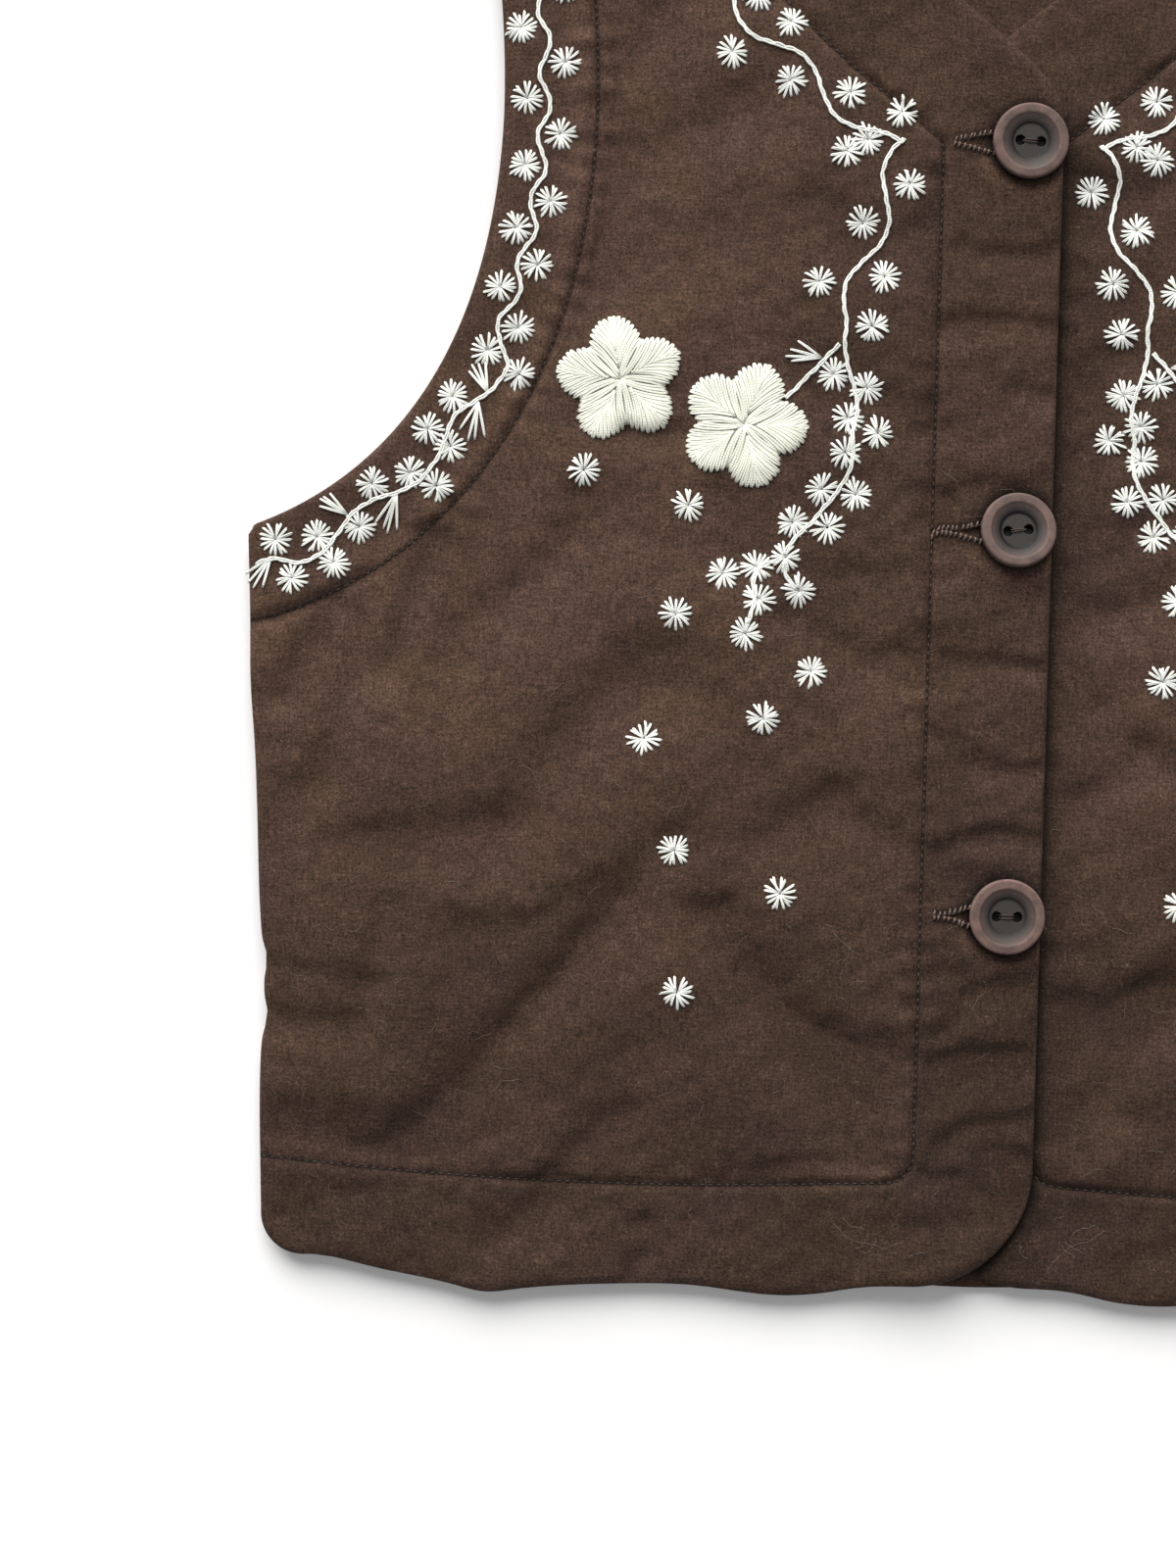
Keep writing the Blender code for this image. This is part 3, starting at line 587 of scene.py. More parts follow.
def headings(path):
    """Unit direction of the path at each of its points."""
    along = np.gradient(path, axis=0)
    return along / np.linalg.norm(along, axis=1)[:, None]


def moved(path, offset):
    """The path moved sideways, to its left for a positive offset."""
    return path + np.reshape(offset, (-1, 1)) * leftward(headings(path))


def joined(*paths):
    """Paths put end to end, with the points that repeat at the joins left out."""
    rows = np.concatenate(paths)
    step = np.linalg.norm(np.diff(rows, axis=0), axis=1)
    return rows[np.concatenate([[True], step > 0.01])]


def mirrored(path):
    """The path on the other side of the centre line."""
    return path * [-1.0, 1.0]


def hem_drop(x):
    """Drop of the hem below its straight line: the sum of bells at a few places."""
    return sum(drop * np.exp(-(((x - at) / reach) ** 2)) for at, drop, reach in HEM_WAVES)


def hem_height(x):
    """Height of the hem's edge, which settles to 0 before the front corner."""
    foot = FRONT_EDGE - FRONT_CORNER
    return -hem_drop(x) * ramp(x, foot, -HEM_FADE)


def hem_band(x):
    """Height of the hem's stitch line, a shallow bow."""
    return HEM_BAND + HEM_BAND_BOW * (x - HEM_BAND_MID) ** 2


def hem_curve():
    """The hem from the side corner to the front corner."""
    hem = straight((SIDE_HEM[0], 0.0), (FRONT_EDGE - FRONT_CORNER, 0.0))
    return np.stack([hem[:, 0], hem_height(hem[:, 0])], 1)


def side_corner():
    """The rounded corner from the hem up to the side seam."""
    return arc((SIDE_HEM[0], SIDE_HEM[1] + SIDE_CORNER), SIDE_CORNER, 270.0, 180.0)


def side_seam():
    """The side seam from its corner up to the underarm, with its dents."""
    side = straight((SIDE_HEM[0] - SIDE_CORNER, SIDE_HEM[1] + SIDE_CORNER), UNDERARM, 1.5)
    dents = (
        depth * np.exp(-(((side[:, 1] - at) / reach) ** 2)) for at, depth, reach in SIDE_DENTS
    )
    return side + np.stack([sum(dents), np.zeros(len(side))], 1)


def armhole_curve():
    """The armhole from the underarm up to the shoulder tip."""
    return joined(bezier(ARMHOLE), bezier(ARMHOLE_TOP))


def outer_edges():
    """The side seam and the armhole as they are after turning: their corner is rounded, each
    point near it moved to the mean of a window that reaches no further than the rounding."""
    side, arm = even(side_seam(), 1.0), even(armhole_curve(), 1.0)
    whole = joined(side, arm)
    known = lengths_along(whole)
    corner = length_of(side)
    reach = np.maximum(UNDERARM_ROUNDING - np.abs(known - corner), 0.0)
    window = known[:, None] + reach[:, None] * np.linspace(-1.0, 1.0, 9)
    whole = spot(whole, window.ravel()).reshape(-1, 9, 2).mean(1)
    split = len(side)
    return whole[:split], whole[split - 1 :]


def front_corner():
    """The rounded corner from the hem up to the front edge."""
    centre = (FRONT_EDGE - FRONT_CORNER, FRONT_CORNER)
    return arc(centre, FRONT_CORNER, -90.0, 0.0, 40)


def front_line():
    """The straight front edge, from its corner up to the neck."""
    return straight((FRONT_EDGE, FRONT_CORNER), NECK[0])


def shoulder_line():
    """The shoulder seam from the neck to the tip."""
    return straight(NECK[-1], ARMHOLE_TOP[-1])


def band_line():
    """The stitch line of the facing: along the hem, round its corner and up the front."""
    x = FRONT_EDGE - BAND_WIDTH
    foot = x - BAND_CORNER
    hem = straight((-236.0, 0.0), (foot, 0.0))
    hem[:, 1] = hem_band(hem[:, 0])
    rise = hem[-1, 1] + BAND_CORNER
    neck = moved(bezier(NECK), BAND_WIDTH)
    neck = neck[neck[:, 0] < x - 1.0]
    front = straight((x, rise), (x, neck[0, 1] - 3.0))
    corner = arc((foot, rise), BAND_CORNER, -90.0, 0.0, 12)
    return joined(hem, corner, front, neck)


def arm_line():
    """The stitch line of the armhole's facing, from the side seam to the shoulder."""
    start = (UNDERARM[0] + 3.0, UNDERARM[1] - ARM_BAND - 0.5)
    return even(joined(np.array([start]), moved(armhole_curve(), -ARM_BAND)), 3.0)


def back_neck_line():
    """The stitch line of the back neck's facing, over both halves."""
    line = moved(bezier(BACK_NECK), BAND_WIDTH)
    return joined(line[::-1], mirrored(line))


def fold_line(start, middle, end, count=13):
    """Points along a fold, on the parabola through its start, middle and end."""
    start, middle, end = np.array([start, middle, end])
    t = np.linspace(0.0, 1.0, count)[:, None]
    control = 2.0 * middle - 0.5 * (start + end)
    return (1 - t) ** 2 * start + 2 * (1 - t) * t * control + t**2 * end


# Distances and soft steps


def nearest(points, path):
    """For each point the offset (x, y) from the nearest place on a path, and how far along
    the path that place is."""
    start, run = path[:-1], np.diff(path, axis=0)
    span = np.maximum((run**2).sum(1), 1e-9)
    reach, known = np.sqrt(span), lengths_along(path)[:-1]

    def of_block(block):
        offset = block[:, None, :] - start
        along = np.clip((offset * run).sum(2) / span, 0.0, 1.0)
        offset -= along[:, :, None] * run
        best = (offset**2).sum(2).argmin(1)
        row = np.arange(len(block))
        return offset[row, best], known[best] + along[row, best] * reach[best]

    blocks = np.array_split(points, max(1, len(points) // 4000))
    found = [of_block(block) for block in blocks]
    return [np.concatenate(part) for part in zip(*found)]


def distance(points, *paths):
    """Distance from each point to the nearest of several paths."""
    return np.min([np.linalg.norm(nearest(points, path)[0], axis=1) for path in paths], axis=0)


def smooth(value):
    """A soft step from 0 to 1 as value goes from 0 to 1."""
    value = np.clip(value, 0.0, 1.0)
    return value * value * (3.0 - 2.0 * value)


def ramp(value, start, reach):
    """A soft step: 0 at start, 1 from reach beyond it, which lies below it if negative."""
    return smooth((value - start) / reach)


def quarter_round(distance_in, reach):
    """A quarter ellipse: 0 at the edge, 1 from reach inwards."""
    return np.sqrt(np.clip(1 - (1 - np.clip(distance_in / reach, 0.0, 1.0)) ** 2, 0.0, 1.0))


def bell(distance_off, reach):
    """A bell: 1 on the line, falling off over reach."""
    return np.exp(-((distance_off / reach) ** 2))


def peak(value, middle, reach):
    """A bell about a middle value."""
    return bell(value - middle, reach)


def fold_rise(points, folds):
    """Sum of the folds: each a bell across its line that dies out at both ends, with its
    half width on the steep side, where its line is listed, and over twice that on the long
    side. A valley is steep on its uphill side and a ridge on its downhill side."""
    uphill = np.array(UPHILL)
    total = np.zeros(len(points))
    for *places, half_width, rise in folds:
        steep = -math.copysign(1.0, rise) * uphill
        line = fold_line(*places) - 0.7 * half_width * steep
        low, high = line.min(0) - 5.0 * half_width, line.max(0) + 5.0 * half_width
        near = np.flatnonzero(((points > low) & (points < high)).all(1))
        if len(near) == 0:
            continue
        offset = nearest(points[near], line)[0]
        gap = np.linalg.norm(offset, axis=1)
        facing = offset @ steep / np.maximum(gap, 1e-6)
        total[near] += rise * bell(gap, half_width * (1 + 0.6 * (1 - facing)))
    return total


def uneven(points, seed):
    """Soft unevenness: the sum of seeded sine waves in all directions, in two sizes."""
    random = np.random.default_rng(seed)
    total = np.zeros(len(points))
    for shortest, longest, height in UNEVEN:
        count = 14
        angle = random.uniform(0.0, math.pi, count)
        wave = random.uniform(shortest, longest, count)
        phase = random.uniform(0.0, math.tau, count)
        turns = points @ (polar(1, angle).T / wave)
        total += height * np.sin(math.tau * turns + phase).sum(1)
    return total


def puckers(points, line, seed):
    """Ripples across a stitch line: sines of the place along it, dying out beside it."""
    random = np.random.default_rng(seed)
    offset, along = nearest(points, line)
    wave = random.uniform(*PUCKER_WAVES, 5)
    phase = random.uniform(0.0, math.tau, 5)
    ripple = np.sin(math.tau * along[:, None] / wave + phase).mean(1)
    return 2.0 * PUCKER_HEIGHT * ripple * bell(np.linalg.norm(offset, axis=1), PUCKER_REACH)


def body_depth(points):
    """Distance in from the nearest stitch line: above 0 on the body, below 0 on a band."""
    x, y = points.T
    from_hem = y - hem_band(x)
    from_front = FRONT_EDGE - BAND_WIDTH - x
    corner = BAND_CORNER - np.hypot(
        np.maximum(BAND_CORNER - from_hem, 0.0), np.maximum(BAND_CORNER - from_front, 0.0)
    )
    near_corner = (from_hem < BAND_CORNER) & (from_front < BAND_CORNER)
    along_front = np.where(near_corner, corner, np.minimum(from_hem, from_front))
    from_neck = distance(points, bezier(NECK)) - BAND_WIDTH
    from_arm = distance(points, armhole_curve()) - ARM_BAND
    return np.minimum(np.minimum(along_front, from_neck), from_arm)


def hole_depth(points):
    """How far in a point lies between the lips of a buttonhole: below 0 outside them."""
    x, y = points.T
    deepest = np.full(len(points), -99.0)
    for height, (upper, lower) in zip(BUTTON_HEIGHTS, LIPS):
        upper, lower = np.array(upper), np.array(lower)
        above = np.interp(x, *upper.T, left=-99.0, right=-99.0) + height - y
        below = y - np.interp(x, *lower.T, left=99.0, right=99.0) - height
        deepest = np.maximum(deepest, np.minimum(above, below))
    return deepest


def button_offset(points):
    """Distance to the middle of the nearest button, and the offset (x, y) from it."""
    aside, above = points[:, 0] - BUTTON_X, points[:, 1, None] - BUTTON_HEIGHTS
    above = above[np.arange(len(points)), np.abs(above).argmin(1)]
    return np.hypot(aside, above), aside, above


def button_dimple(points):
    """Depth to which the buttons press the cloth down: a soft ring round each of them."""
    return DIMPLE_DEPTH * (1 - ramp(button_offset(points)[0], DIMPLE_FLAT, DIMPLE_REACH))


# Shading of a front's cloth, much of it painted light and shade: shares of its colour by which
# an area is darker or paler, and in brackets the ramps (start, reach) or bells (middle, reach)
# in millimetres that fade it
BACK_TONE = 0.82
BAND_SHADE, BAND_FADE, BAND_HEM_FADE = 0.16, (-1.0, 2.0), (45.0, -30.0)
# Painted shade: the cloth darker towards the hem, as the light falls off down the front
LOWER_SHADE, LOWER_FADE = 0.27, (215.0, -140.0)
INNER_SHADE, INNER_FADE = 0.05, (-110.0, 60.0)
UPPER_SHADE, UPPER_FADE, UPPER_INNER_FADE = 0.19, (200.0, 40.0), (-75.0, 30.0)
# Armhole's band: paler, with a painted highlight along a ridge in its middle, above a dark seam of
# painted shade and a body with a painted highlight
ARM_GLOW, ARM_FADE, ARM_SIDE = 0.08, (0.0, -1.5), (-195.0, -25.0)
ARM_RIDGE, ARM_RIDGE_LOSS, ARM_RIDGE_BELL = 0.5, 0.3, (-5.5, 5.5)
ARM_BODY_GLOW, ARM_BODY_BELL, ARM_BODY_SIDE = 0.28, (9.0, 9.0), (-185.0, -15.0)
ARM_SEAM_SHADE, ARM_SEAM_SIDE_SHADE, ARM_SEAM_WIDTH = 0.16, 0.4, 1.2
ARM_SLOPE_SHADE, ARM_SLOPE_BELL = 0.2, (-2.5, 3.0)
# Buttonholes: painted shade round the lips and in the slit between them
LIP_SHADE, LIP_BELL, GAP_SHADE, GAP_DEPTH = 0.7, (-1.0, 1.2), 0.15, 0.8
# Buttons: painted shadow against the rim, a painted cast shadow on the side that lies toward
# SHADOW, and a ring of painted light below them
RIM_SHADE, RIM_REACH, CAST_SHADE, CAST_REACH = 0.86, 1.3, 0.45, 4.0
SHADED_FROM, SHADOW = 12.2, (-0.5, 0.87)
RING_GLOW, RING_BELL, RING_BELOW = 0.8, (15.8, 2.3), 9.0
# The left front beside the edge that laps it, darkened by painted shadow: shares and reaches
LAP_SHADES = ((0.50, 2.8), (0.22, 14.0))


class Front:
    """Heights of one front over its plan, which is the wearer's right one's."""

    def __init__(self, side, folds, creases, seed, crumple):
        self.folds = folds
        self.creases = creases
        self.lapped = side > 0
        self.seed = seed
        self.crumple = crumple
        side_edge, arm_edge = outer_edges()
        self.seams = (joined(side_corner()[-1:], side_edge), shoulder_line())
        self.free = (
            joined(side_corner()[::-1], hem_curve(), front_corner(), front_line(), bezier(NECK)),
            arm_edge,
        )

    def lap(self, points):
        """Height that the lapped front has climbed over the one under it."""
        share = ramp(points[:, 0], LAP_RISE_START, LAP_RISE_END - LAP_RISE_START)
        return LAP_LIFT * share * self.lapped

    def body(self, points):
        """Height of the body over its stitch lines: the puff and the folds."""
        depth = np.maximum(body_depth(points), 0.0)
        puff = PUFF_HEIGHT * (1 - bell(depth, PUFF_REACH))
        puff *= smooth(distance(points, *self.seams) / PUFF_SEAM_REACH)
        return puff + 1.2 * fold_rise(points, self.folds) * smooth(depth / BODY_EASE)

    def under(self, points):
        """Height of the lower face, which curls up at the free edges."""
        curl = EDGE_CURL * (1 - quarter_round(distance(points, *self.free), CURL_REACH))
        return FRONT_UNDER + np.maximum(self.body(points), 0.0) + self.lap(points) + curl

    def top(self, points):
        """Height of the upper face: the wall, rounded at edges, drawn in at the stitches,
        creased, pressed down in the buttonholes and a little uneven."""
        depth = body_depth(points)
        lines = 1 - 0.8 * bell(depth, 1.2)
        rounding = quarter_round(distance(points, *self.seams, *self.free), ROUNDING)
        wall = BAND_WALL + (BODY_WALL - BAND_WALL) * smooth(depth / BODY_EASE)
        wall += self.crumple * uneven(points, self.seed) * lines
        wall += puckers(points, band_line(), self.seed + 1) * lines
        wall += 1.6 * puckers(points, arm_line(), self.seed + 2) * lines
        wall += self.body(points) + 1.2 * fold_rise(points, self.creases)
        wall -= STITCH_DEPTH * bell(depth, STITCH_REACH)
        if self.lapped:
            wall -= HOLE_DEPTH * smooth(hole_depth(points) / HOLE_SLOPE)
            wall -= button_dimple(points)
        wall = np.maximum(wall, THINNEST_WALL)
        return FRONT_UNDER + self.lap(points) + RIM_WALL + (wall - RIM_WALL) * rounding

    def tone(self, points):
        """Shade of the cloth's colour, much of it painted light and shade: 1 on the body, less on
        the bands, painted shade lower down, less beside the front band's top, painted shade and
        shadow round the buttonholes and buttons with painted light below each button, painted
        shade along creases below the armhole, and painted shadow on the left front beside the
        edge that laps it. The armhole's band is paler, with painted highlights and a dark line of
        painted shade along its seam."""
        x, y = points.T
        band = 1 - ramp(body_depth(points), *BAND_FADE)
        tone = 1 - BAND_SHADE * band * (1 - 0.5 * ramp(y, *BAND_HEM_FADE))
        tone -= LOWER_SHADE * ramp(y, *LOWER_FADE) + INNER_SHADE * ramp(x, *INNER_FADE)
        tone -= UPPER_SHADE * ramp(y, *UPPER_FADE) * ramp(x, *UPPER_INNER_FADE) * (1 - band)
        tone *= self.arm_tone(distance(points, armhole_curve()) - ARM_BAND, x)
        # Painted shade along the creases below the armhole
        tone *= 1 + fold_rise(points, SHADED_CREASES)
        return tone * (self.button_tone(points) if self.lapped else self.lapped_tone(points))

    def arm_tone(self, from_arm, x):
        """Painted light and shade round the armhole's seam, by the distance beyond it and the place
        across: painted highlights along the band's ridge and on the body below the seam, painted
        shade in the seam's furrow and on the band's slope beside it.
        """
        beside = ramp(x, *ARM_SIDE)
        ridge = (ARM_RIDGE - ARM_RIDGE_LOSS * beside) * peak(from_arm, *ARM_RIDGE_BELL)
        tone = 1 + (ridge + ARM_GLOW) * ramp(from_arm, *ARM_FADE)
        tone *= 1 + ARM_BODY_GLOW * peak(from_arm, *ARM_BODY_BELL) * ramp(x, *ARM_BODY_SIDE)
        tone *= 1 - (ARM_SEAM_SHADE + ARM_SEAM_SIDE_SHADE * beside) * bell(from_arm, ARM_SEAM_WIDTH)
        return tone * (1 - ARM_SLOPE_SHADE * beside * peak(from_arm, *ARM_SLOPE_BELL))

    def button_tone(self, points):
        """Painted shade round the buttonholes, and painted shadow and light round the buttons, of the
        lapped front.
        """
        hole, (away, aside, above) = hole_depth(points), button_offset(points)
        # Painted shade round the buttonholes' lips and in their slits
        tone = 1 - LIP_SHADE * peak(hole, *LIP_BELL) - GAP_SHADE * smooth(hole / GAP_DEPTH)
        beyond = np.maximum(away - SHADED_FROM, 0.0)
        toward = (SHADOW[0] * aside + SHADOW[1] * above) / np.maximum(away, 1.0)
        # Painted shadow against each rim, a painted cast shadow toward SHADOW, and painted light in a
        # ring below
        tone *= 1 - RIM_SHADE * bell(beyond, RIM_REACH)
        tone *= 1 - CAST_SHADE * bell(beyond, CAST_REACH) * smooth(0.5 + 0.5 * toward)
        return tone * (1 + RING_GLOW * peak(away, *RING_BELL) * smooth(-above / RING_BELOW))

    def lapped_tone(self, points):
        """Painted shadow on the left front beside the edge that lies on it."""
        away = distance(points, mirrored(joined(front_corner(), front_line())))
        return 1 - sum(share * bell(away, reach) for share, reach in LAP_SHADES)


def moved_folds(folds):
    """The folds of the left front: the right one's, moved and a little lower."""
    return [
        (*[np.add(place, LEFT_SHIFT) for place in places], half_width, LEFT_SHARE * rise)
        for *places, half_width, rise in folds
    ]


def make_front_surface(side, crumple):
    """The surface of the wearer's right front (side 1) or left front (side -1)."""
    if side > 0:
        return Front(side, FOLDS, CREASES, SEEDS["right front"], crumple)
    creases = [*moved_folds(CREASES), LAPPED_CREASE]
    return Front(side, moved_folds(FOLDS), creases, SEEDS["left front"], crumple)


# Lattices: rows of places that fill a plan

# Height at which a front's rows change from the side edge to the armhole
HALF_WAY = 215.0
# Height up to which rows take a share of the hem's waves, and from which of the top's
ROWS_HEM_FADE = 34.0
ROWS_TOP_FADE = 320.0
BACK_FINE_STEP = 0.7


def graded(length, step, zones):
    """Places from 0 to length, about one step apart and closer in zones of centre, reach
    and finer step: even counts of the running sum of 1 / step."""
    at = np.linspace(0.0, length, 8000)
    local = np.full(len(at), step)
    for centre, reach, fine in zones:
        ease = smooth(np.abs(at - centre) / reach)
        local = np.minimum(local, fine + (step - fine) * ease)
    count = np.concatenate([[0.0], np.cumsum(np.diff(at) / local[1:])])
    total = UNDER_EVERY * max(1, int(round(count[-1] / UNDER_EVERY)))
    return np.interp(np.linspace(0.0, count[-1], total + 1), count, at)


def row_ends(stretches):
    """Left and right ends of rows: places at the same shares of a left and a right edge,
    each stretch going on where the last one ended."""
    left, right = [], []
    for outer, inner, shares in stretches:
        skip = 1 if left else 0
        left.append(shared(outer, shares)[skip:])
        right.append(shared(inner, shares)[skip:])
    return np.concatenate(left), np.concatenate(right)


def lattice(left, right, columns, zone_left, zone_right, *waves):
    """Rows of places from a left edge to a right one: each row is a straight line whose
    columns keep their distance from the edges, square to them, within the zones, and whose
    height also takes a fading share of the waves of the lower and upper edges."""
    run = right - left
    width = np.linalg.norm(run, axis=1)
    run = run / width[:, None]
    stretch = []
    for edge in (left, right):
        sine = np.abs(np.cross(headings(edge), run))
        factor = np.clip(1.0 / np.maximum(sine, 0.1), 1.0, STEEPEST_ROW)
        padded = np.pad(factor, 4, mode="edge")
        stretch.append(np.convolve(padded, np.full(9, 1 / 9), mode="valid"))
    total = columns[-1]
    near = stretch[0][:, None] * zone_left
    far = width[:, None] - np.minimum(stretch[1][:, None], 1.5) * zone_right
    share = (columns - zone_left) / (total - zone_left - zone_right)
    across = np.where(columns < zone_left, columns / zone_left * near, near + share * (far - near))
    tail = width[:, None] - (total - columns) / zone_right * (width[:, None] - far)
    across = np.where(columns > total - zone_right, tail, across)
    places = left[:, None, :] + across[:, :, None] * run[:, None, :]
    for wave, fade in waves:
        places[:, :, 1] += wave(places[:, :, 0]) * fade[:, None]
    return places


def front_lattice():
    """Places over a front: rows from the side and the armhole to the front and the neck."""
    straight_up = front_line()
    low = straight_up[straight_up[:, 1] < HALF_WAY]
    split = [[FRONT_EDGE, HALF_WAY]]
    side_edge, arm_edge = outer_edges()
    pairs = (
        (side_corner(), front_corner()),
        (side_edge, np.vstack([low, split])),
        (arm_edge, joined(split, straight_up[straight_up[:, 1] > HALF_WAY], bezier(NECK))),
    )
    stretches = []
    for index, (outer, inner) in enumerate(pairs):
        length = length_of(inner)
        zones = [
            (height - inner[0, 1], HOLE_ROWS_REACH, HOLE_STEP)
            for height in BUTTON_HEIGHTS
            if inner[0, 1] - 5.0 < height < inner[-1, 1] and inner[0, 0] == inner[1, 0]
        ]
        corner_zone = (length, HEM_ROWS_REACH, HOLE_STEP)
        hem_zone = (4.0, HEM_ROWS_REACH + 8.0, HOLE_STEP)
        shoulder_zone = (length, EDGE_ZONE, FINE_STEP)
        zones.append((corner_zone, hem_zone, shoulder_zone)[index])
        stretches.append((outer, inner, graded(length, FRONT_STEP, zones) / length))
    left, right = row_ends(stretches)
    width = FRONT_EDGE - SIDE_HEM[0] + SIDE_CORNER
    band = BAND_WIDTH + STITCH_ZONE
    zones = [
        (0.0, EDGE_ZONE, FINE_STEP),
        (width, EDGE_ZONE, FINE_STEP),
        (width - BAND_WIDTH, STITCH_ZONE, 0.8),
        (width - 26.0, 14.0, 1.2),
    ]
    columns = graded(width, FRONT_STEP + 0.1, zones)
    start, end = SIDE_HEM[0], FRONT_EDGE - FRONT_CORNER

    def wave(x):
        """Hem's height over the straight line between its ends."""
        x = np.clip(x, start, end)
        return hem_height(x) - np.interp(x, [start, end], hem_height(np.array([start, end])))

    fade = 1 - smooth(0.5 * (left[:, 1] + right[:, 1]) / ROWS_HEM_FADE)
    return lattice(left, right, columns, EDGE_ZONE, band, (wave, fade))


def back_curves():
    """Edges of half a back from hem to neck: the outer ones and the two below and above."""
    inset = [0.0, BACK_HEM_INSET]
    corner = side_corner() + np.linspace(1.0, 0.0, 24)[:, None] * inset
    side, arm = outer_edges()
    bow = BACK_INSET * np.sin(np.linspace(0.0, math.pi, len(arm)))
    arm = arm + np.stack([bow, -0.5 * bow], 1)
    hem = joined(hem_curve(), straight((FRONT_EDGE - FRONT_CORNER, 0.0), (0.0, 0.0))) + inset
    hem[:, 1] -= BACK_MIDDLE_DROP * bell(hem[:, 0], 26.0)
    top = joined(shoulder_line()[::-1], bezier(BACK_NECK)[::-1])
    return corner, side, arm, hem, top


def back_lattice():
    """Places over the back: half of them worked out and the rest mirrored."""
    corner, side, arm, hem, top = back_curves()
    middle = (hem[-1, 1], 24.0, UNDERARM[1], BACK_NECK[0][1])
    stretches = []
    for index, outer in enumerate((corner, side, arm)):
        inner = straight((0.0, middle[index]), (0.0, middle[index + 1]))
        length = length_of(outer)
        zones = [(length, EDGE_ZONE, BACK_FINE_STEP)] if index == 2 else []
        stretches.append((outer, inner, graded(length, BACK_STEP, zones) / length))
    left, right = row_ends(stretches)
    columns = graded(-SIDE_HEM[0] + SIDE_CORNER, BACK_STEP, [(0.0, EDGE_ZONE, BACK_FINE_STEP)])

    def wave_of(edge):
        """Height of an edge over the straight line between its ends."""
        ends = edge[[0, -1]]
        return lambda x: np.interp(x, *edge.T) - np.interp(x, *ends.T)

    low = 1 - smooth(0.5 * (left[:, 1] + right[:, 1]) / ROWS_HEM_FADE)
    high = ramp(left[:, 1], ROWS_TOP_FADE, ARMHOLE_TOP[-1][1] - ROWS_TOP_FADE)
    waves = ((wave_of(hem), low), (wave_of(top), high))
    half = lattice(left, right, columns, EDGE_ZONE, BACK_STEP, *waves)
    return np.concatenate([half, half[:, -2::-1] * [-1.0, 1.0]], axis=1)


# Meshes


def to_frame(points, heights, side=1.0):
    """Vertices in metres from garment places and heights in millimetres."""
    flat = points.reshape(-1, 2) * [side, 1.0] - [0.0, MID_HEIGHT]
    return np.column_stack([flat, np.ravel(heights)]) * MM


def shown(name, data):
    """A new object in the scene that shows a mesh, a light or a camera."""
    item = bpy.data.objects.new(name, data)
    bpy.context.scene.collection.objects.link(item)
    return item


def build(name, vertices, faces, material, sharp=180.0):
    """A finished piece: a smooth mesh with one material, riding on the garment."""
    mesh = bpy.data.meshes.new(name)
    mesh.from_pydata(vertices.tolist(), [], faces)
    mesh.validate()
    mesh.shade_smooth()
    if sharp < 180.0:
        mesh.set_sharp_from_angle(angle=math.radians(sharp))
    mesh.materials.append(material)
    piece = shown(name, mesh)
    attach(piece, "root")
    return piece


def paint(piece, name, values):
    """Stores one number for each vertex under a name that a material reads."""
    layer = piece.data.attributes.new(name, "FLOAT", "POINT")
    layer.data.foreach_set("value", np.asarray(values, np.float32))


def grid_faces(rows, columns, start=0):
    """Quads of a lattice, facing up where rows run up and columns run right."""
    index = start + np.arange(rows * columns).reshape(rows, columns)
    corners = (index[:-1, :-1], index[:-1, 1:], index[1:, 1:], index[1:, :-1])
    return np.stack(corners, -1).reshape(-1, 4)


def ring_faces(index):
    """Quads between closed rings, from their indices (..., rings, points)."""
    after = np.roll(index, -1, axis=-1)
    near, far = index[..., :-1, :], index[..., 1:, :]
    corners = (near, far, after[..., 1:, :], after[..., :-1, :])
    return np.stack(corners, -1).reshape(-1, 4)


def border(rows, columns):
    """Indices round a lattice's edge, anticlockwise from its lower left corner."""
    index = np.arange(rows * columns).reshape(rows, columns)
    sides = (index[0, :-1], index[:-1, -1], index[-1, :0:-1], index[:0:-1, 0])
    return np.concatenate(sides)


def cloth_mesh(name, places, upper, lower, every, side, material):
    """A closed wall of cloth: an upper lattice, a lower one with only every so many rows and
    columns, and a rim between them. Lower takes places and gives their heights."""
    rows, columns = places.shape[:2]
    coarse = places[::every, ::every]
    under_rows, under_columns = coarse.shape[:2]
    flat = coarse.reshape(-1, 2)
    vertices = np.vstack([to_frame(places, upper, side), to_frame(coarse, lower(flat), side)])
    start = rows * columns
    faces = grid_faces(rows, columns).tolist()
    faces += grid_faces(under_rows, under_columns, start)[:, ::-1].tolist()
    fine = border(rows, columns)
    below = start + border(under_rows, under_columns)
    fine = np.append(fine, fine[0])
    below = np.append(below, below[0])
    for index in range(len(below) - 1):
        run = fine[index * every : (index + 1) * every + 1][::-1]
        faces.append([*run.tolist(), int(below[index]), int(below[index + 1])])
    if side < 0:
        faces = [face[::-1] for face in faces]
    return build(name, vertices, faces, material)


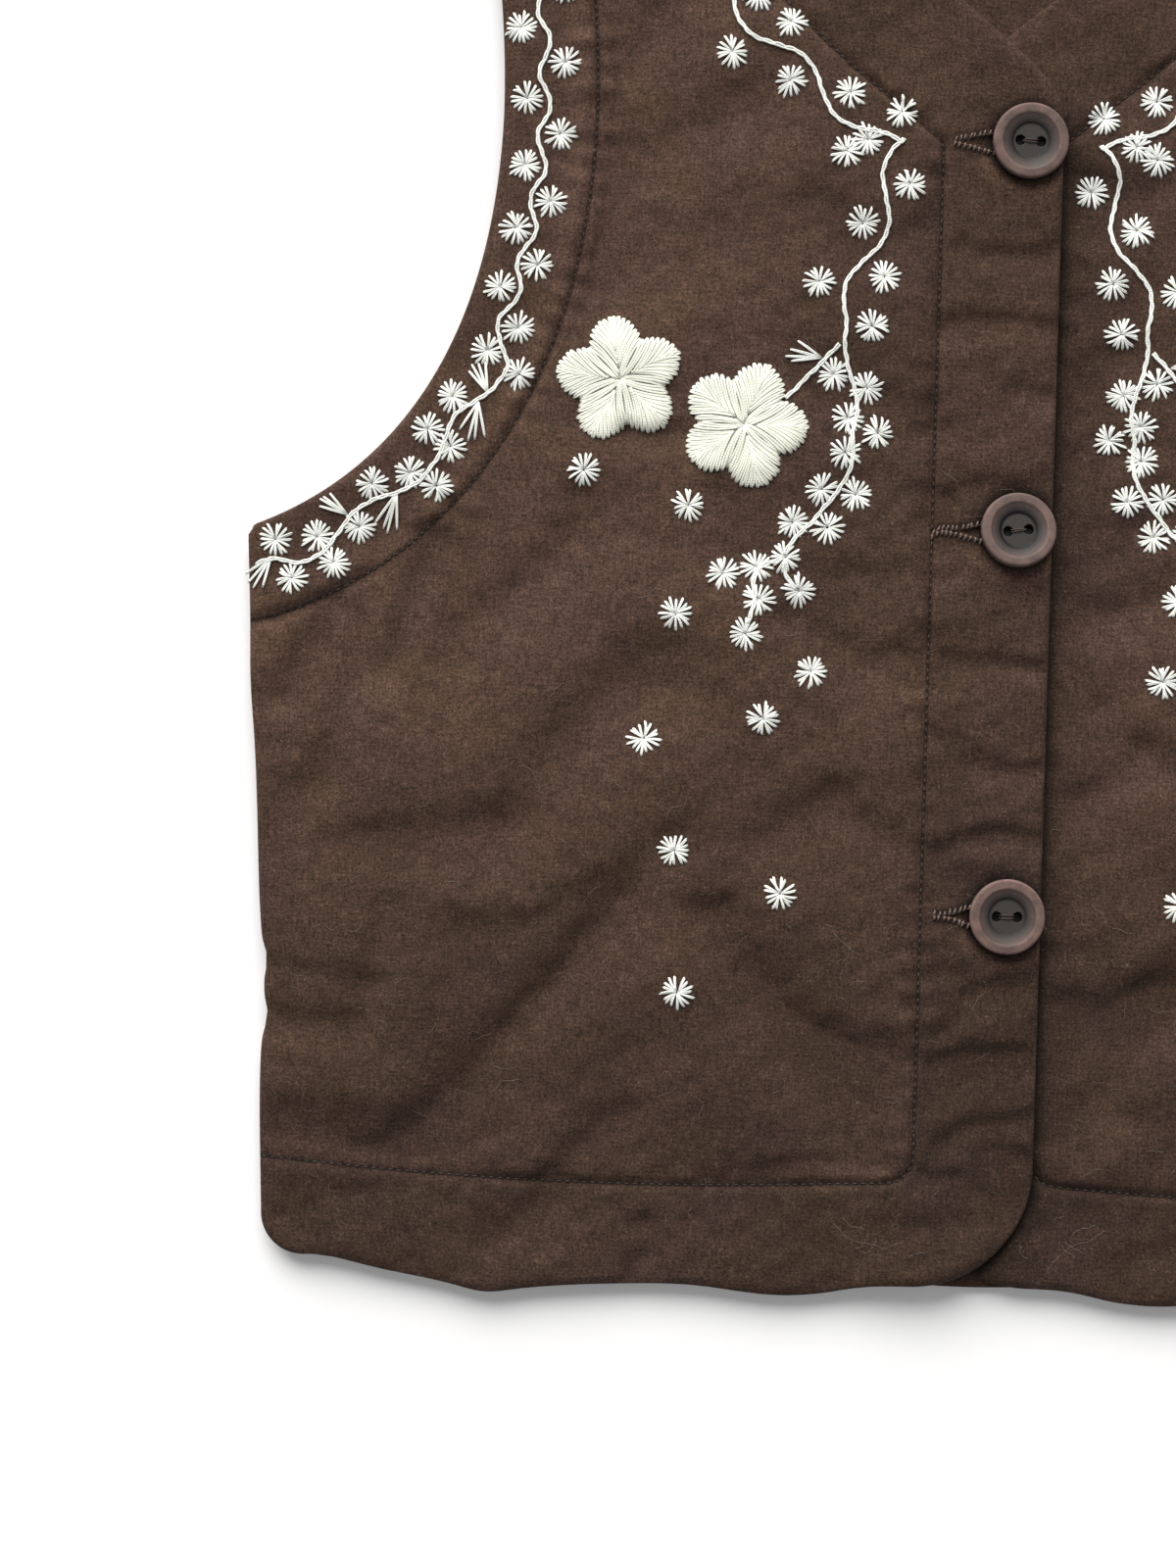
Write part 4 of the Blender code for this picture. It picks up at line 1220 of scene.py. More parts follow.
class Threads:
    """Tubes of thread gathered into one mesh, with the thread's length and turn as UV."""

    def __init__(self):
        self.vertices = []
        self.quads = []
        self.caps = []
        self.uv = []
        self.count = 0

    def add(self, paths, radii, sides=5, flat=1.0):
        """Tubes along paths (tubes, points, 3) in millimetres: a circle of radii (points)
        or (tubes, points) square to the path, its height times flat, both ends closed."""
        tubes, points, _ = paths.shape
        along = np.gradient(paths, axis=1)
        along /= np.linalg.norm(along, axis=2)[:, :, None] + 1e-9
        across = np.cross(along, [0.0, 0.0, 1.0])
        across /= np.linalg.norm(across, axis=2)[:, :, None] + 1e-9
        rise = flat * np.cross(across, along)
        angle = math.tau * np.arange(sides) / sides
        ring = np.cos(angle)[:, None] * across[:, :, None] + np.sin(angle)[:, None] * rise[:, :, None]
        radii = np.broadcast_to(radii, (tubes, points))
        vertices = paths[:, :, None, :] + radii[:, :, None, None] * ring
        index = self.count + np.arange(tubes * points * sides).reshape(tubes, points, sides)
        self.quads.append(ring_faces(index))
        self.caps += index[:, 0].tolist() + index[:, -1, ::-1].tolist()
        step = np.linalg.norm(np.diff(paths, axis=1), axis=2)
        length = np.concatenate([np.zeros((tubes, 1)), np.cumsum(step, axis=1)], axis=1)
        turn = np.arange(sides + 1) / sides
        low, high = length[:, :-1, None], length[:, 1:, None]
        u = np.stack(np.broadcast_arrays(low, high, high, low), -1)
        u = np.broadcast_to(u, (tubes, points - 1, sides, 4))
        v = np.stack([turn[:-1], turn[:-1], turn[1:], turn[1:]], -1)
        v = np.broadcast_to(v, (tubes, points - 1, sides, 4))
        self.uv.append(np.stack([u, v], -1).reshape(-1, 2))
        self.vertices.append(vertices.reshape(-1, 3))
        self.count += tubes * points * sides

    def build(self, name, material, slot, side=1.0):
        """The finished mesh, moved into the frame and mirrored for side -1."""
        vertices = np.concatenate(self.vertices)
        vertices = (vertices - [0.0, MID_HEIGHT, 0.0]) * [side, 1.0, 1.0] * MM
        quads = np.concatenate(self.quads)
        uv = np.concatenate(self.uv)
        caps = self.caps
        if side < 0:
            quads = quads[:, ::-1]
            uv = uv.reshape(-1, 4, 2)[:, ::-1].reshape(-1, 2)
            caps = [cap[::-1] for cap in caps]
        piece = build(name, vertices, quads.tolist() + caps, material)
        layer = piece.data.uv_layers.new(name="thread")
        cap_loops = sum(len(cap) for cap in caps)
        everything = np.vstack([uv, np.zeros((cap_loops, 2))])
        if len(layer.data) != len(everything):
            raise RuntimeError(f"{name} has faces that Blender dropped")
        layer.data.foreach_set("uv", everything.astype(np.float32).ravel())
        return piece


def sewn(front, places, arch):
    """Paths of thread on a front: places (tubes, points, 2) at the cloth's height + arch."""
    tubes, points, _ = places.shape
    ground = front.top(places.reshape(-1, 2)).reshape(tubes, points)
    return np.dstack([places, ground + arch])


# Materials


class Nodes:
    """A new material and short ways to add nodes to it."""

    def __init__(self, name):
        self.material = bpy.data.materials.new(name)
        self.material.use_nodes = True
        self.tree = self.material.node_tree
        self.shader = self.tree.nodes["Principled BSDF"]

    def add(self, kind, settings=(), **inputs):
        """A node of a kind, with settings and with numbers or other nodes' outputs put in."""
        node = self.tree.nodes.new("ShaderNode" + kind)
        for name, value in dict(settings).items():
            setattr(node, name, value)
        for name, value in inputs.items():
            socket = node.inputs[int(name[1:]) if name[0] == "i" else name.replace("_", " ")]
            self.put(socket, value)
        return node

    def put(self, socket, value):
        """Links an output to a socket, or sets the socket to a number, colour or vector."""
        if isinstance(value, bpy.types.NodeSocket):
            self.tree.links.new(value, socket)
        else:
            socket.default_value = value

    def math(self, operation, first, second=0.0, clamp=False):
        """Output of a Math node."""
        settings = {"operation": operation, "use_clamp": clamp}
        return self.add("Math", settings, i0=first, i1=second).outputs[0]

    def times(self, value, *factors):
        """A value multiplied by one factor after another."""
        for factor in factors:
            value = self.math("MULTIPLY", value, factor)
        return value

    def spans(self, value, rows):
        """A value multiplied by other values, each mapped from one range to another."""
        return self.times(value, *[self.span(*row) for row in rows])

    def attribute(self, name):
        """The number that paint() has stored on the piece under a name."""
        return self.add("Attribute", {"attribute_name": name}).outputs["Fac"]

    def mix(self, share, first, second, blend="MIX"):
        """Output of a colour mix."""
        settings = {"data_type": "RGBA", "blend_type": blend}
        return self.add("Mix", settings, i0=share, i6=first, i7=second).outputs[2]

    def places(self, scale=(1.0, 1.0, 1.0)):
        """Object coordinates, stretched."""
        source = self.add("TexCoord").outputs["Object"]
        return self.add("Mapping", Vector=source, Scale=scale).outputs[0]

    def noise(self, vector, scale, detail=2.0, roughness=0.5):
        """A noise value from 0 to 1."""
        node = self.add("TexNoise", Vector=vector, Scale=scale, Detail=detail, Roughness=roughness)
        return node.outputs["Factor" if "Factor" in node.outputs else "Fac"]

    def span(self, value, low, high, to_low, to_high):
        """A value mapped from one range to another and kept inside it."""
        node = self.add("MapRange", Value=value)
        names = ("From Min", "From Max", "To Min", "To Max")
        for name, number in zip(names, (low, high, to_low, to_high)):
            node.inputs[name].default_value = number
        return node.outputs[0]

    def finish(self, colour, roughness, height=None, reach=0.0001, strength=1.0, **fixed):
        """Joins colour, roughness and relief to the shader and sets its fixed values."""
        self.put(self.shader.inputs["Base Color"], colour)
        self.put(self.shader.inputs["Roughness"], roughness)
        if height is not None:
            bump = self.add("Bump", Height=height, Distance=reach, Strength=strength)
            self.put(self.shader.inputs["Normal"], bump.outputs[0])
        for name, value in fixed.items():
            self.shader.inputs[name.replace("_", " ")].default_value = value
        return self.material


# Length in millimetres in which a thread's plies turn once
PLY_LENGTH = 0.9


def opaque(colour, share=1.0):
    """A colour with its fourth number, made darker or lighter by a share."""
    return (*[min(1.0, share * part) for part in colour], 1.0)


def cotton_material(cloth):
    """Plain-woven cotton: crossed threads with short slubs, heathered and mottled colour,
    pale flecks of lint, a tone from the piece's own shade attribute, which holds painted light
    and shade, and a dark line of painted shade along the sunk stitch lines, where its own seam
    attribute, the distance to a stitch line, is small."""
    found = bpy.data.materials.get("brown cotton cloth")
    if found:
        return found
    nodes = Nodes("brown cotton cloth")
    flat = nodes.places()
    split = nodes.add("SeparateXYZ", Vector=flat)
    turns = math.pi / cloth.thread_pitch
    warp, weft = (nodes.math("SINE", nodes.times(split.outputs[axis], turns)) for axis in (0, 1))
    weave = nodes.times(warp, weft)
    along = nodes.noise(nodes.places((150.0, 1250.0, 1.0)), 1.0, 2.0, 0.6)
    upward = nodes.noise(nodes.places((1250.0, 150.0, 1.0)), 1.0, 2.0, 0.6)
    heather = nodes.noise(flat, 1350.0, 2.0, 0.65)
    mottle = nodes.noise(flat, 24.0, 4.0, 0.55)
    cloud = nodes.noise(flat, 170.0, 4.0, 0.65)
    blotch = nodes.noise(flat, 480.0, 2.0, 0.6)
    threads = nodes.math("ADD", along, upward)
    rows = (
        # value, low, high, shade at low, shade at high
        (heather, 0.25, 0.75, 0.22, 1.78),
        (blotch, 0.3, 0.7, 0.88, 1.12),
        (mottle, 0.3, 0.7, 0.90, 1.10),
        (cloud, 0.3, 0.7, 0.88, 1.12),
        (weave, -1.0, 1.0, 0.80, 1.20),
    )
    tone = nodes.spans(nodes.span(threads, 0.7, 1.3, 0.70, 1.30), rows)
    # Painted shade: the colour darkened along the stitch lines, where the cloth is drawn in
    sunk = nodes.span(nodes.math("ABSOLUTE", nodes.attribute("seam")), 0.25, 0.85, 1.0, 0.0)
    tone = nodes.spans(nodes.times(tone, nodes.attribute("shade")), [(sunk, 0.0, 1.0, 1.0, 0.38)])
    red, green, blue = cloth.colour
    hue = nodes.span(nodes.noise(flat, 31.0, 3.0, 0.55), 0.38, 0.62, 0.0, 1.0)
    warm = (red, 1.01 * green, 0.96 * blue, 1.0)
    cool = (0.98 * red, 0.97 * green, 1.06 * blue, 1.0)
    base = nodes.mix(1.0, nodes.mix(hue, warm, cool), tone, "MULTIPLY")
    fluff = nodes.span(nodes.noise(flat, 900.0, 3.0, 0.7), 0.60, 0.78, 0.0, 0.7)
    flecks = nodes.spans(fluff, [(cloud, 0.4, 0.62, 0.15, 1.0)])
    colour = nodes.mix(flecks, base, (0.24, 0.175, 0.14, 1.0))
    relief = nodes.math("ADD", nodes.times(weave, 0.4), threads)
    relief = nodes.math("ADD", relief, nodes.times(heather, 0.9))
    return nodes.finish(
        colour,
        nodes.span(heather, 0.3, 0.7, 0.88, 0.98),
        relief,
        reach=0.00011,
        strength=0.8,
        Sheen_Weight=0.05,
        Sheen_Roughness=0.5,
        Sheen_Tint=(0.75, 0.66, 0.60, 1.0),
        Specular_IOR_Level=0.2,
    )


def thread_material(name, colour, darkest, sheen, side=0.6):
    """Twisted thread: slanting plies from the piece's own UV, with a little uneven colour, and
    painted shade, darker by a share, down both sides of the strand, where it sinks between the
    others."""
    found = bpy.data.materials.get(name)
    if found:
        return found
    nodes = Nodes(name)
    uv = nodes.add("SeparateXYZ", Vector=nodes.add("TexCoord").outputs["UV"])
    length = nodes.times(uv.outputs[0], math.tau / PLY_LENGTH)
    turn = nodes.times(uv.outputs[1], math.tau)
    ply = nodes.math("SINE", nodes.math("ADD", length, turn))
    patch = nodes.noise(nodes.places(), 260.0, 2.0, 0.5)
    fuzz = nodes.noise(nodes.places(), 4200.0, 2.0, 0.6)
    # Painted shade: darker down the strand's sides, lightest along its top
    crown = nodes.math("SINE", turn)
    rows = ((crown, 0.1, 0.85, side, 1.0), (patch, 0.3, 0.7, 0.95, 1.03))
    tone = nodes.spans(nodes.span(ply, -1.0, 1.0, darkest, 1.0), rows)
    base = nodes.mix(1.0, opaque(colour), tone, "MULTIPLY")
    relief = nodes.math("ADD", nodes.times(ply, 0.5), fuzz)
    return nodes.finish(
        base,
        nodes.span(fuzz, 0.3, 0.7, 0.62, 0.86),
        relief,
        reach=0.00006,
        strength=0.6,
        Sheen_Weight=sheen,
        Sheen_Roughness=0.4,
    )


def button_material(buttons):
    """Matt turned plastic: a brown body with fine turning marks, worn paler, with painted
    highlights along the rim's edges, where the piece's own attribute of wear and highlights is
    high, and darker where its attribute of grime and shade is high: grime, and painted shade in
    the thread holes."""
    found = bpy.data.materials.get("brown turned button")
    if found:
        return found
    nodes = Nodes("brown turned button")
    # The piece's wear with its painted highlights, and its grime with painted shade in the thread holes
    wear_and_highlight, grime_and_shade = nodes.attribute("wear_and_highlight"), nodes.attribute("grime_and_shade")
    cloud = nodes.noise(nodes.places(), 210.0, 3.0, 0.6)
    speck = nodes.noise(nodes.places(), 2600.0, 2.0, 0.6)
    patchy = nodes.math("MULTIPLY", wear_and_highlight, nodes.span(cloud, 0.35, 0.65, 0.6, 1.4), clamp=True)
    base = nodes.mix(patchy, opaque(buttons.colour), opaque(buttons.worn))
    dark = nodes.mix(grime_and_shade, base, opaque(buttons.colour, 0.08))
    tone = nodes.span(speck, 0.3, 0.7, 0.9, 1.1)
    colour = nodes.mix(1.0, dark, tone, "MULTIPLY")
    return nodes.finish(
        colour,
        nodes.span(cloud, 0.3, 0.7, 0.46, 0.64),
        speck,
        reach=0.00003,
        strength=0.5,
        Specular_IOR_Level=0.22,
    )


def floor_material(stage):
    """Pale matt floor, lit a little from below like a light table, which softens shadows."""
    nodes = Nodes("pale floor")
    grain = nodes.noise(nodes.places(), 300.0, 2.0, 0.5)
    tone = nodes.span(grain, 0.3, 0.7, 0.995, 1.0)
    colour = nodes.mix(1.0, opaque(stage.floor_colour), tone, "MULTIPLY")
    glow = {"Emission_Color": (1.0, 1.0, 1.0, 1.0), "Emission_Strength": 0.08}
    return nodes.finish(colour, 0.9, Specular_IOR_Level=0.1, **glow)


# Pieces


def edge_loop(places):
    """Places round the edge of a lattice."""
    rows, columns = places.shape[:2]
    return places.reshape(-1, 2)[border(rows, columns)]


def back_lines(points):
    """Distance to the nearest stitch line on the outer face of the back."""
    half = np.stack([-np.abs(points[:, 0]), points[:, 1]], 1)
    from_hem = np.abs(points[:, 1] - hem_band(half[:, 0]))
    from_arm = distance(half, arm_line())
    return np.minimum(np.minimum(from_hem, from_arm), distance(points, back_neck_line()))


def back_under(points, outline):
    """Lower face of the back: flat on the surface, curled up at its edge, with the stitch
    lines of its facings drawn in."""
    curl = BACK_CURL * (1 - quarter_round(distance(points, outline), CURL_REACH))
    return curl + BACK_GROOVE * bell(back_lines(points), STITCH_REACH)


def back_top(points, free):
    """Upper face of the back, falling a little at its free edges, with the neck's stitch
    line drawn in."""
    fall = BACK_TOP_FALL * (1 - quarter_round(distance(points, *free), CURL_REACH))
    return BACK_TOP - fall - BACK_GROOVE * bell(distance(points, back_neck_line()), STITCH_REACH)


def make_back(cloth):
    """The back: one wide piece of padded cotton lying face down."""
    places = back_lattice()
    flat = places.reshape(-1, 2)
    _, _, arm, hem, _ = back_curves()
    neck = bezier(BACK_NECK)
    free = [path for half in (arm, hem, neck) for path in (half, mirrored(half))]
    outline = edge_loop(places)
    outline = np.vstack([outline, outline[:1]])
    piece = cloth_mesh(
        "back_panel",
        places,
        back_top(flat, free),
        lambda points: back_under(points, outline),
        1,
        1.0,
        cotton_material(cloth),
    )
    paint(piece, "shade", np.full(len(piece.data.vertices), BACK_TONE))
    paint(piece, "seam", np.concatenate([distance(flat, back_neck_line()), back_lines(flat)]))
    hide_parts("back")


def make_front(name, side, cloth):
    """A front: padded cotton with its folds, bands, stitch lines and buttonholes."""
    front = make_front_surface(side, cloth.crumple)
    places = front_lattice()
    flat = places.reshape(-1, 2)
    material = cotton_material(cloth)
    piece = cloth_mesh(
        name + "_panel", places, front.top(flat), front.under, UNDER_EVERY, side, material
    )
    coarse = places[::UNDER_EVERY, ::UNDER_EVERY].reshape(-1, 2)
    paint(piece, "shade", np.concatenate([front.tone(flat), np.full(len(coarse), BACK_TONE)]))
    paint(piece, "seam", np.concatenate([body_depth(flat), np.full(len(coarse), 9.0)]))
    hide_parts(name)


PURL_PITCH = 1.65
PURL_REACH = np.array([-0.45, -0.05, 0.5, 1.0, 1.5])
PURL_ARCH = np.array([-0.3, 0.45, 0.7, 0.4, -0.25])
PURL_TAPER = np.array([0.3, 0.46, 0.44, 0.32, 0.2])
KNOT_REACH = np.array([-0.3, -0.12, 0.12, 0.3])
KNOT_ARCH = np.array([-0.45, -0.2, -0.2, -0.45])
KNOT_TAPER = np.array([0.16, 0.26, 0.26, 0.16])
STITCH_SHARES = np.array([0.0, 0.2, 0.5, 0.8, 1.0])
STITCH_ARCH = np.array([-0.30, 0.16, 0.24, 0.16, -0.30])
STITCH_TAPER = np.array([0.5, 1.0, 1.1, 1.0, 0.5])
BACK_STITCH_HEIGHT = 0.42
HEM_STITCHES_END = 230.0


def stitch_places(line, pitch, gap, random):
    """Plan places (stitches, 5, 2) of a row of stitches along a line."""
    starts = np.arange(1.0, length_of(line) - pitch, pitch)
    at = starts[:, None] + (pitch - gap) * STITCH_SHARES
    places = spot(line, at.ravel()).reshape(len(starts), len(STITCH_SHARES), 2)
    slant = random.uniform(-0.12, 0.12, (len(starts), 1, 1)) * (STITCH_SHARES - 0.5)[:, None]
    return places + slant * leftward(np.gradient(places, axis=1)) * 3.0


def make_stitches(name, side, lines, to_paths, seed, sewing):
    """Topstitches along lines: one short thread for each stitch, its path from its places."""
    random = np.random.default_rng(seed)
    threads = Threads()
    for line in lines:
        places = stitch_places(even(line, 0.5), sewing.pitch / MM, sewing.gap / MM, random)
        threads.add(to_paths(places), sewing.radius / MM * STITCH_TAPER)
    colour = opaque(sewing.colour, 0.62)[:3]
    material = thread_material("brown sewing thread", colour, 0.75, 0.1, 0.55)
    threads.build(name, material, "sewing_thread", side)


def make_topstitching(name, side, cloth, sewing):
    """The topstitches of a front, arched over the cloth."""
    front = make_front_surface(side, cloth.crumple)

    def to_paths(places):
        """Stitches on the front's upper face."""
        return sewn(front, places, STITCH_ARCH)

    seed = SEEDS["stitches"] + int(side)
    make_stitches(name, side, (band_line(), arm_line()), to_paths, seed, sewing)


def make_back_topstitching(sewing):
    """The topstitches on the outer face of the back, sunk in their grooves."""
    arm = arm_line()
    hem = straight((-HEM_STITCHES_END, 0.0), (HEM_STITCHES_END, 0.0))
    hem[:, 1] = hem_band(-np.abs(hem[:, 0]))

    def to_paths(places):
        """Stitches under the back's outer face."""
        height = np.broadcast_to(BACK_STITCH_HEIGHT - 0.6 * STITCH_ARCH, places.shape[:2])
        return np.dstack([places, height])

    lines = (arm, mirrored(arm), hem, back_neck_line())
    make_stitches("back_topstitching", 1.0, lines, to_paths, SEEDS["back stitches"], sewing)


def make_buttonholes(cloth, sewing):
    """The worked edges of the buttonholes: along each lip a row of short fat stitches that
    arch over the edge, with a knot on the edge in every gap between them."""
    front = make_front_surface(1.0, cloth.crumple)
    random = np.random.default_rng(SEEDS["buttonholes"])
    threads = Threads()
    for height, lips in zip(BUTTON_HEIGHTS, LIPS):
        for lip, outward in zip(lips, (1.0, -1.0)):
            line = even(rounded(np.array(lip) + [0.0, height], 0.4), 0.16)
            starts = np.arange(0.3, length_of(line) - 0.4, PURL_PITCH)
            starts += random.uniform(-0.25, 0.25, len(starts))
            foot, knot = spot(line, starts), spot(line, starts + 0.5 * PURL_PITCH)
            rise = front.top(foot + [0.0, 1.6 * outward])
            reach = (PURL_REACH * random.uniform(0.72, 1.2, (len(starts), 1)))[:, :, None]
            lean = random.uniform(0.1, 0.5, (len(starts), 1, 1))
            purls = foot[:, None] + reach * outward * np.concatenate([lean, lean**0], 2)
            knots = knot[:, None] + KNOT_REACH[:, None] * [1.0, 0.25 * outward]
            threads.add(np.dstack([purls, rise[:, None] + PURL_ARCH]), PURL_TAPER, 6)
            threads.add(np.dstack([knots, rise[:, None] + KNOT_ARCH]), KNOT_TAPER, 6)
    # Painted light: a pale thread with its sides painted almost black, so each purl shows a painted
    # highlight on top and painted shade between
    colour = opaque(sewing.colour, 2.1)[:3]
    material = thread_material("buttonhole thread", colour, 0.5, 0.1, 0.04)
    threads.build("buttonhole_stitching", material, "sewing_thread")


def button_places(buttons, number):
    """Lattice of a button's face: rings from the middle out over the recess, the dish and
    the rim and round to the base, each ring a circle. The two thread holes are pressed
    into the recess as pits."""
    radius, thickness = buttons.radius / MM, buttons.thickness / MM
    profile = np.array(
        [(0.02, RECESS), (5.4, RECESS), (5.9, RECESS + 0.05), (6.2, RECESS + 0.35), (6.8, RECESS + 0.62)]
        + [(7.8, RECESS + 1.0), (9.0, thickness - 0.42), (9.35, thickness - 0.1), (9.8, thickness)]
        + [(radius - 0.7, thickness - 0.03), (radius - 0.28, thickness - 0.22)]
        + [(radius - 0.05, thickness - 0.75), (radius, thickness - 1.4), (radius - 0.1, 1.5)]
        + [(radius - 0.7, 0.5), (radius - 1.6, 0.08), (radius - 3.2, 0.0), (0.02, 0.0)]
    )
    inner = even(profile[:2], 0.16)
    rest = even(rounded(profile[1:], 0.12), 0.3)
    rings = joined(inner, rest)
    angle = np.linspace(0.0, math.tau, 97)[:-1]
    flat = polar(rings[:, 0, None], angle)
    turn = math.radians(BUTTON_TURNS[number])
    z = np.repeat(rings[:, 1, None], len(angle), 1)
    top = (np.arange(len(rings)) < len(inner))[:, None]
    for middle in (-HOLE_SPREAD, HOLE_SPREAD):
        off = np.linalg.norm(flat - middle * polar(1, turn), axis=-1)
        z -= np.where(top, PIT_DEPTH * (1 - ramp(off, PIT_RADIUS, PIT_SLOPE)), 0.0)
    return np.dstack([flat, z]), rings


def button_tilted(number, places):
    """Places (x, y, z) of a button raised on one side about its base, as it sits in its hole."""
    tilt, toward = np.radians(BUTTON_TILTS[number])
    flat, z = turned(places, -toward), places[..., 2]
    rise = z * math.cos(tilt) + (flat[..., 0] + TILT_BEHIND) * math.sin(tilt)
    flat[..., 0] = flat[..., 0] * math.cos(tilt) - (z - TILT_ABOVE) * math.sin(tilt)
    return np.concatenate([turned(flat, toward), rise[..., None]], -1)


def make_button(number, buttons):
    """A turned two-hole button with a worn rim and painted highlights along its edges."""
    level, rings = button_places(buttons, number)
    count, sides = level.shape[:2]
    places = button_tilted(number, level) + [BUTTON_X, BUTTON_HEIGHTS[number], BUTTON_SEAT]
    vertices = to_frame(places[..., :2], places[..., 2])
    index = np.arange(count * sides).reshape(count, sides)
    faces = ring_faces(index).tolist() + [index[0].tolist(), index[-1, ::-1].tolist()]
    name = f"turned_button_{number + 1}"
    piece = build(name, vertices, faces, button_material(buttons), RIM_CREASE)
    reach = np.repeat(rings[:, 0], sides)
    face_up = np.repeat(np.arange(count) < count * 0.8, sides)
    radius = buttons.radius / MM
    wear_and_highlight = sum(share * ramp(reach, *place) for share, *place in DISH_WEAR)
    # Painted highlights: a thin pale line on the rim's inner edge, and one at the outer edge that is both
    # worn and a painted highlight
    lines = (*RIM_HIGHLIGHT, (0.14, radius - 0.3, 0.35))
    wear_and_highlight += sum(share * peak(reach, *place) for share, *place in lines)
    wear_and_highlight *= BUTTON_WEAR[number]
    grime_and_shade = sum(share * peak(reach, *place) for share, *place in RECESS_DARKENING)
    # Painted shade: the thread holes painted almost black
    grime_and_shade += (level[..., 2].ravel() < PIT_LEVEL) & (reach < PIT_REACH) & face_up
    grime_and_shade += BUTTON_GRIME[number] * (1 - ramp(reach, 6.0, 3.0))
    paint(piece, "wear_and_highlight", np.where(face_up, wear_and_highlight, BASE_WEAR))
    paint(piece, "grime_and_shade", np.where(face_up, grime_and_shade, 0.0))
    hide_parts(f"button_{number + 1}")


def make_button_thread(number, sewing):
    """The thread of a button: two strands up one hole, across and down the other, tilted as
    the button is."""
    turn = math.radians(BUTTON_TURNS[number])
    along = polar(1, turn)
    across = leftward(along)
    bar = BUTTON_SEAT + RECESS + 0.3
    low = FRONT_UNDER + BAND_WALL + SEAM_GAP
    half_reach = np.array([2.35, 2.35, 2.28, 1.85, 1.0])
    half_level = np.array([low, bar - 1.6, bar - 0.5, bar - 0.08, bar + 0.04])
    reach = np.concatenate([-half_reach, [0.0], half_reach[::-1]])
    level = np.concatenate([half_level, [bar + 0.15], half_level[::-1]])
    threads = Threads()
    for offset, lean in BUTTON_STRANDS[number]:
        sideways = offset * (1 - 0.3 * (reach / 3.0) ** 2) + lean * reach / 3.0
        flat = reach[:, None] * along + sideways[:, None] * across
        upright = np.column_stack([flat, level - BUTTON_SEAT])
        tilted = button_tilted(number, upright)
        path = np.where(level[:, None] > bar - 1.0, tilted, upright)
        path = path + [BUTTON_X, BUTTON_HEIGHTS[number], BUTTON_SEAT]
        threads.add(path[None], 0.2, 8)
    material = thread_material("button thread", opaque(sewing.colour, 0.75)[:3], 0.6, 0.1, 0.4)
    piece = threads.build(f"button_sewing_{number + 1}", material, "sewing_thread")
    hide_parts(f"button_thread_{number + 1}")


# Embroidery


def petal_reach(angle, bluntness):
    """Reach of a flower's edge at an angle from a petal's tip, as a share of its radius."""
    wave = np.abs(np.cos(0.5 * PETALS * angle)) ** bluntness
    return PETAL_NOTCH + (1 - PETAL_NOTCH) * wave


def pad_height(places, turn, bluntness, dome):
    """Height of a flower's padding at places from its middle: a dome that falls off at the
    petals' edges, with shallow valleys between petals."""
    reach = np.hypot(places[..., 0], places[..., 1])
    angle = np.arctan2(places[..., 1], places[..., 0]) - turn
    sector = math.tau / PETALS
    petal = np.abs((angle + 0.5 * sector) % sector - 0.5 * sector) / (0.5 * sector)
    edge = reach / (FLOWER_RADIUS * petal_reach(angle, bluntness))
    fall = np.sqrt(np.clip(1 - edge**9, 0.0, 1.0))
    valley = 1 - 0.04 * bell((1 - petal) * reach, 1.3)
    return dome * fall * valley


STRAND_SHARES = np.array([0.0, 0.05, 0.14, 0.32, 0.52, 0.72, 0.88, 1.0])
PAIR_SPREAD = np.array([0.14, 0.32, 0.46, 0.42, 0.35, 0.30, 0.26, 0.22])


def petal_ends(bluntness, per_half, random):
    """Angles and reaches of the stitches' outer ends on half a petal, evenly spaced along
    the flower's edge from the tip to the notch."""
    angle = np.linspace(0.0, math.pi / PETALS, 60)
    reach = FLOWER_RADIUS * petal_reach(angle, bluntness)
    edge = polar(reach, angle)
    share = (np.arange(per_half) + 0.5 + random.uniform(-0.1, 0.1, per_half)) / per_half
    place = spot(edge, share * length_of(edge))
    return place * (1 + random.normal(0.0, 0.012, (per_half, 1)))


def flower_strands(turn, bluntness, random):
    """Plan places (strands, 8, 2) of a flower's stitches from its middle: each runs from the
    petal's edge in to its vein, like the barbs of a feather, in two strands of which the
    second sinks under its neighbour."""
    per_half = 8
    strands = []
    for petal in range(PETALS):
        tip = turn + petal * math.tau / PETALS
        for half in (-1.0, 1.0):
            outer = petal_ends(bluntness, per_half, random) * [1.0, half]
            share = (np.arange(per_half) + 0.35) / per_half
            vein = FLOWER_RADIUS * (0.56 * (1 - share) ** 0.95 + 0.02)
            vein = vein + random.normal(0.0, 0.2, per_half)
            swing = math.pi / PETALS * ramp(share, 0.68, 0.28)
            vein *= 1 - 0.9 * ramp(share, 0.6, 0.32)
            inner = polar(vein, swing) * [1.0, half]
            inner[:, 1] += half * random.normal(-0.25, 0.12, per_half) * np.cos(2.4 * swing)
            run = inner - outer
            length = np.linalg.norm(run, axis=1)
            sideways = leftward(run) / length[:, None]
            bow = half * 0.05 * length[:, None] * 4.0 * STRAND_SHARES * (1 - STRAND_SHARES)
            for offset in (-1.0, 1.0):
                path = outer[:, None] + STRAND_SHARES[:, None] * run[:, None]
                path = path + (offset * PAIR_SPREAD + bow)[:, :, None] * sideways[:, None]
                strands.append(turned(path, tip))
    return np.concatenate(strands)


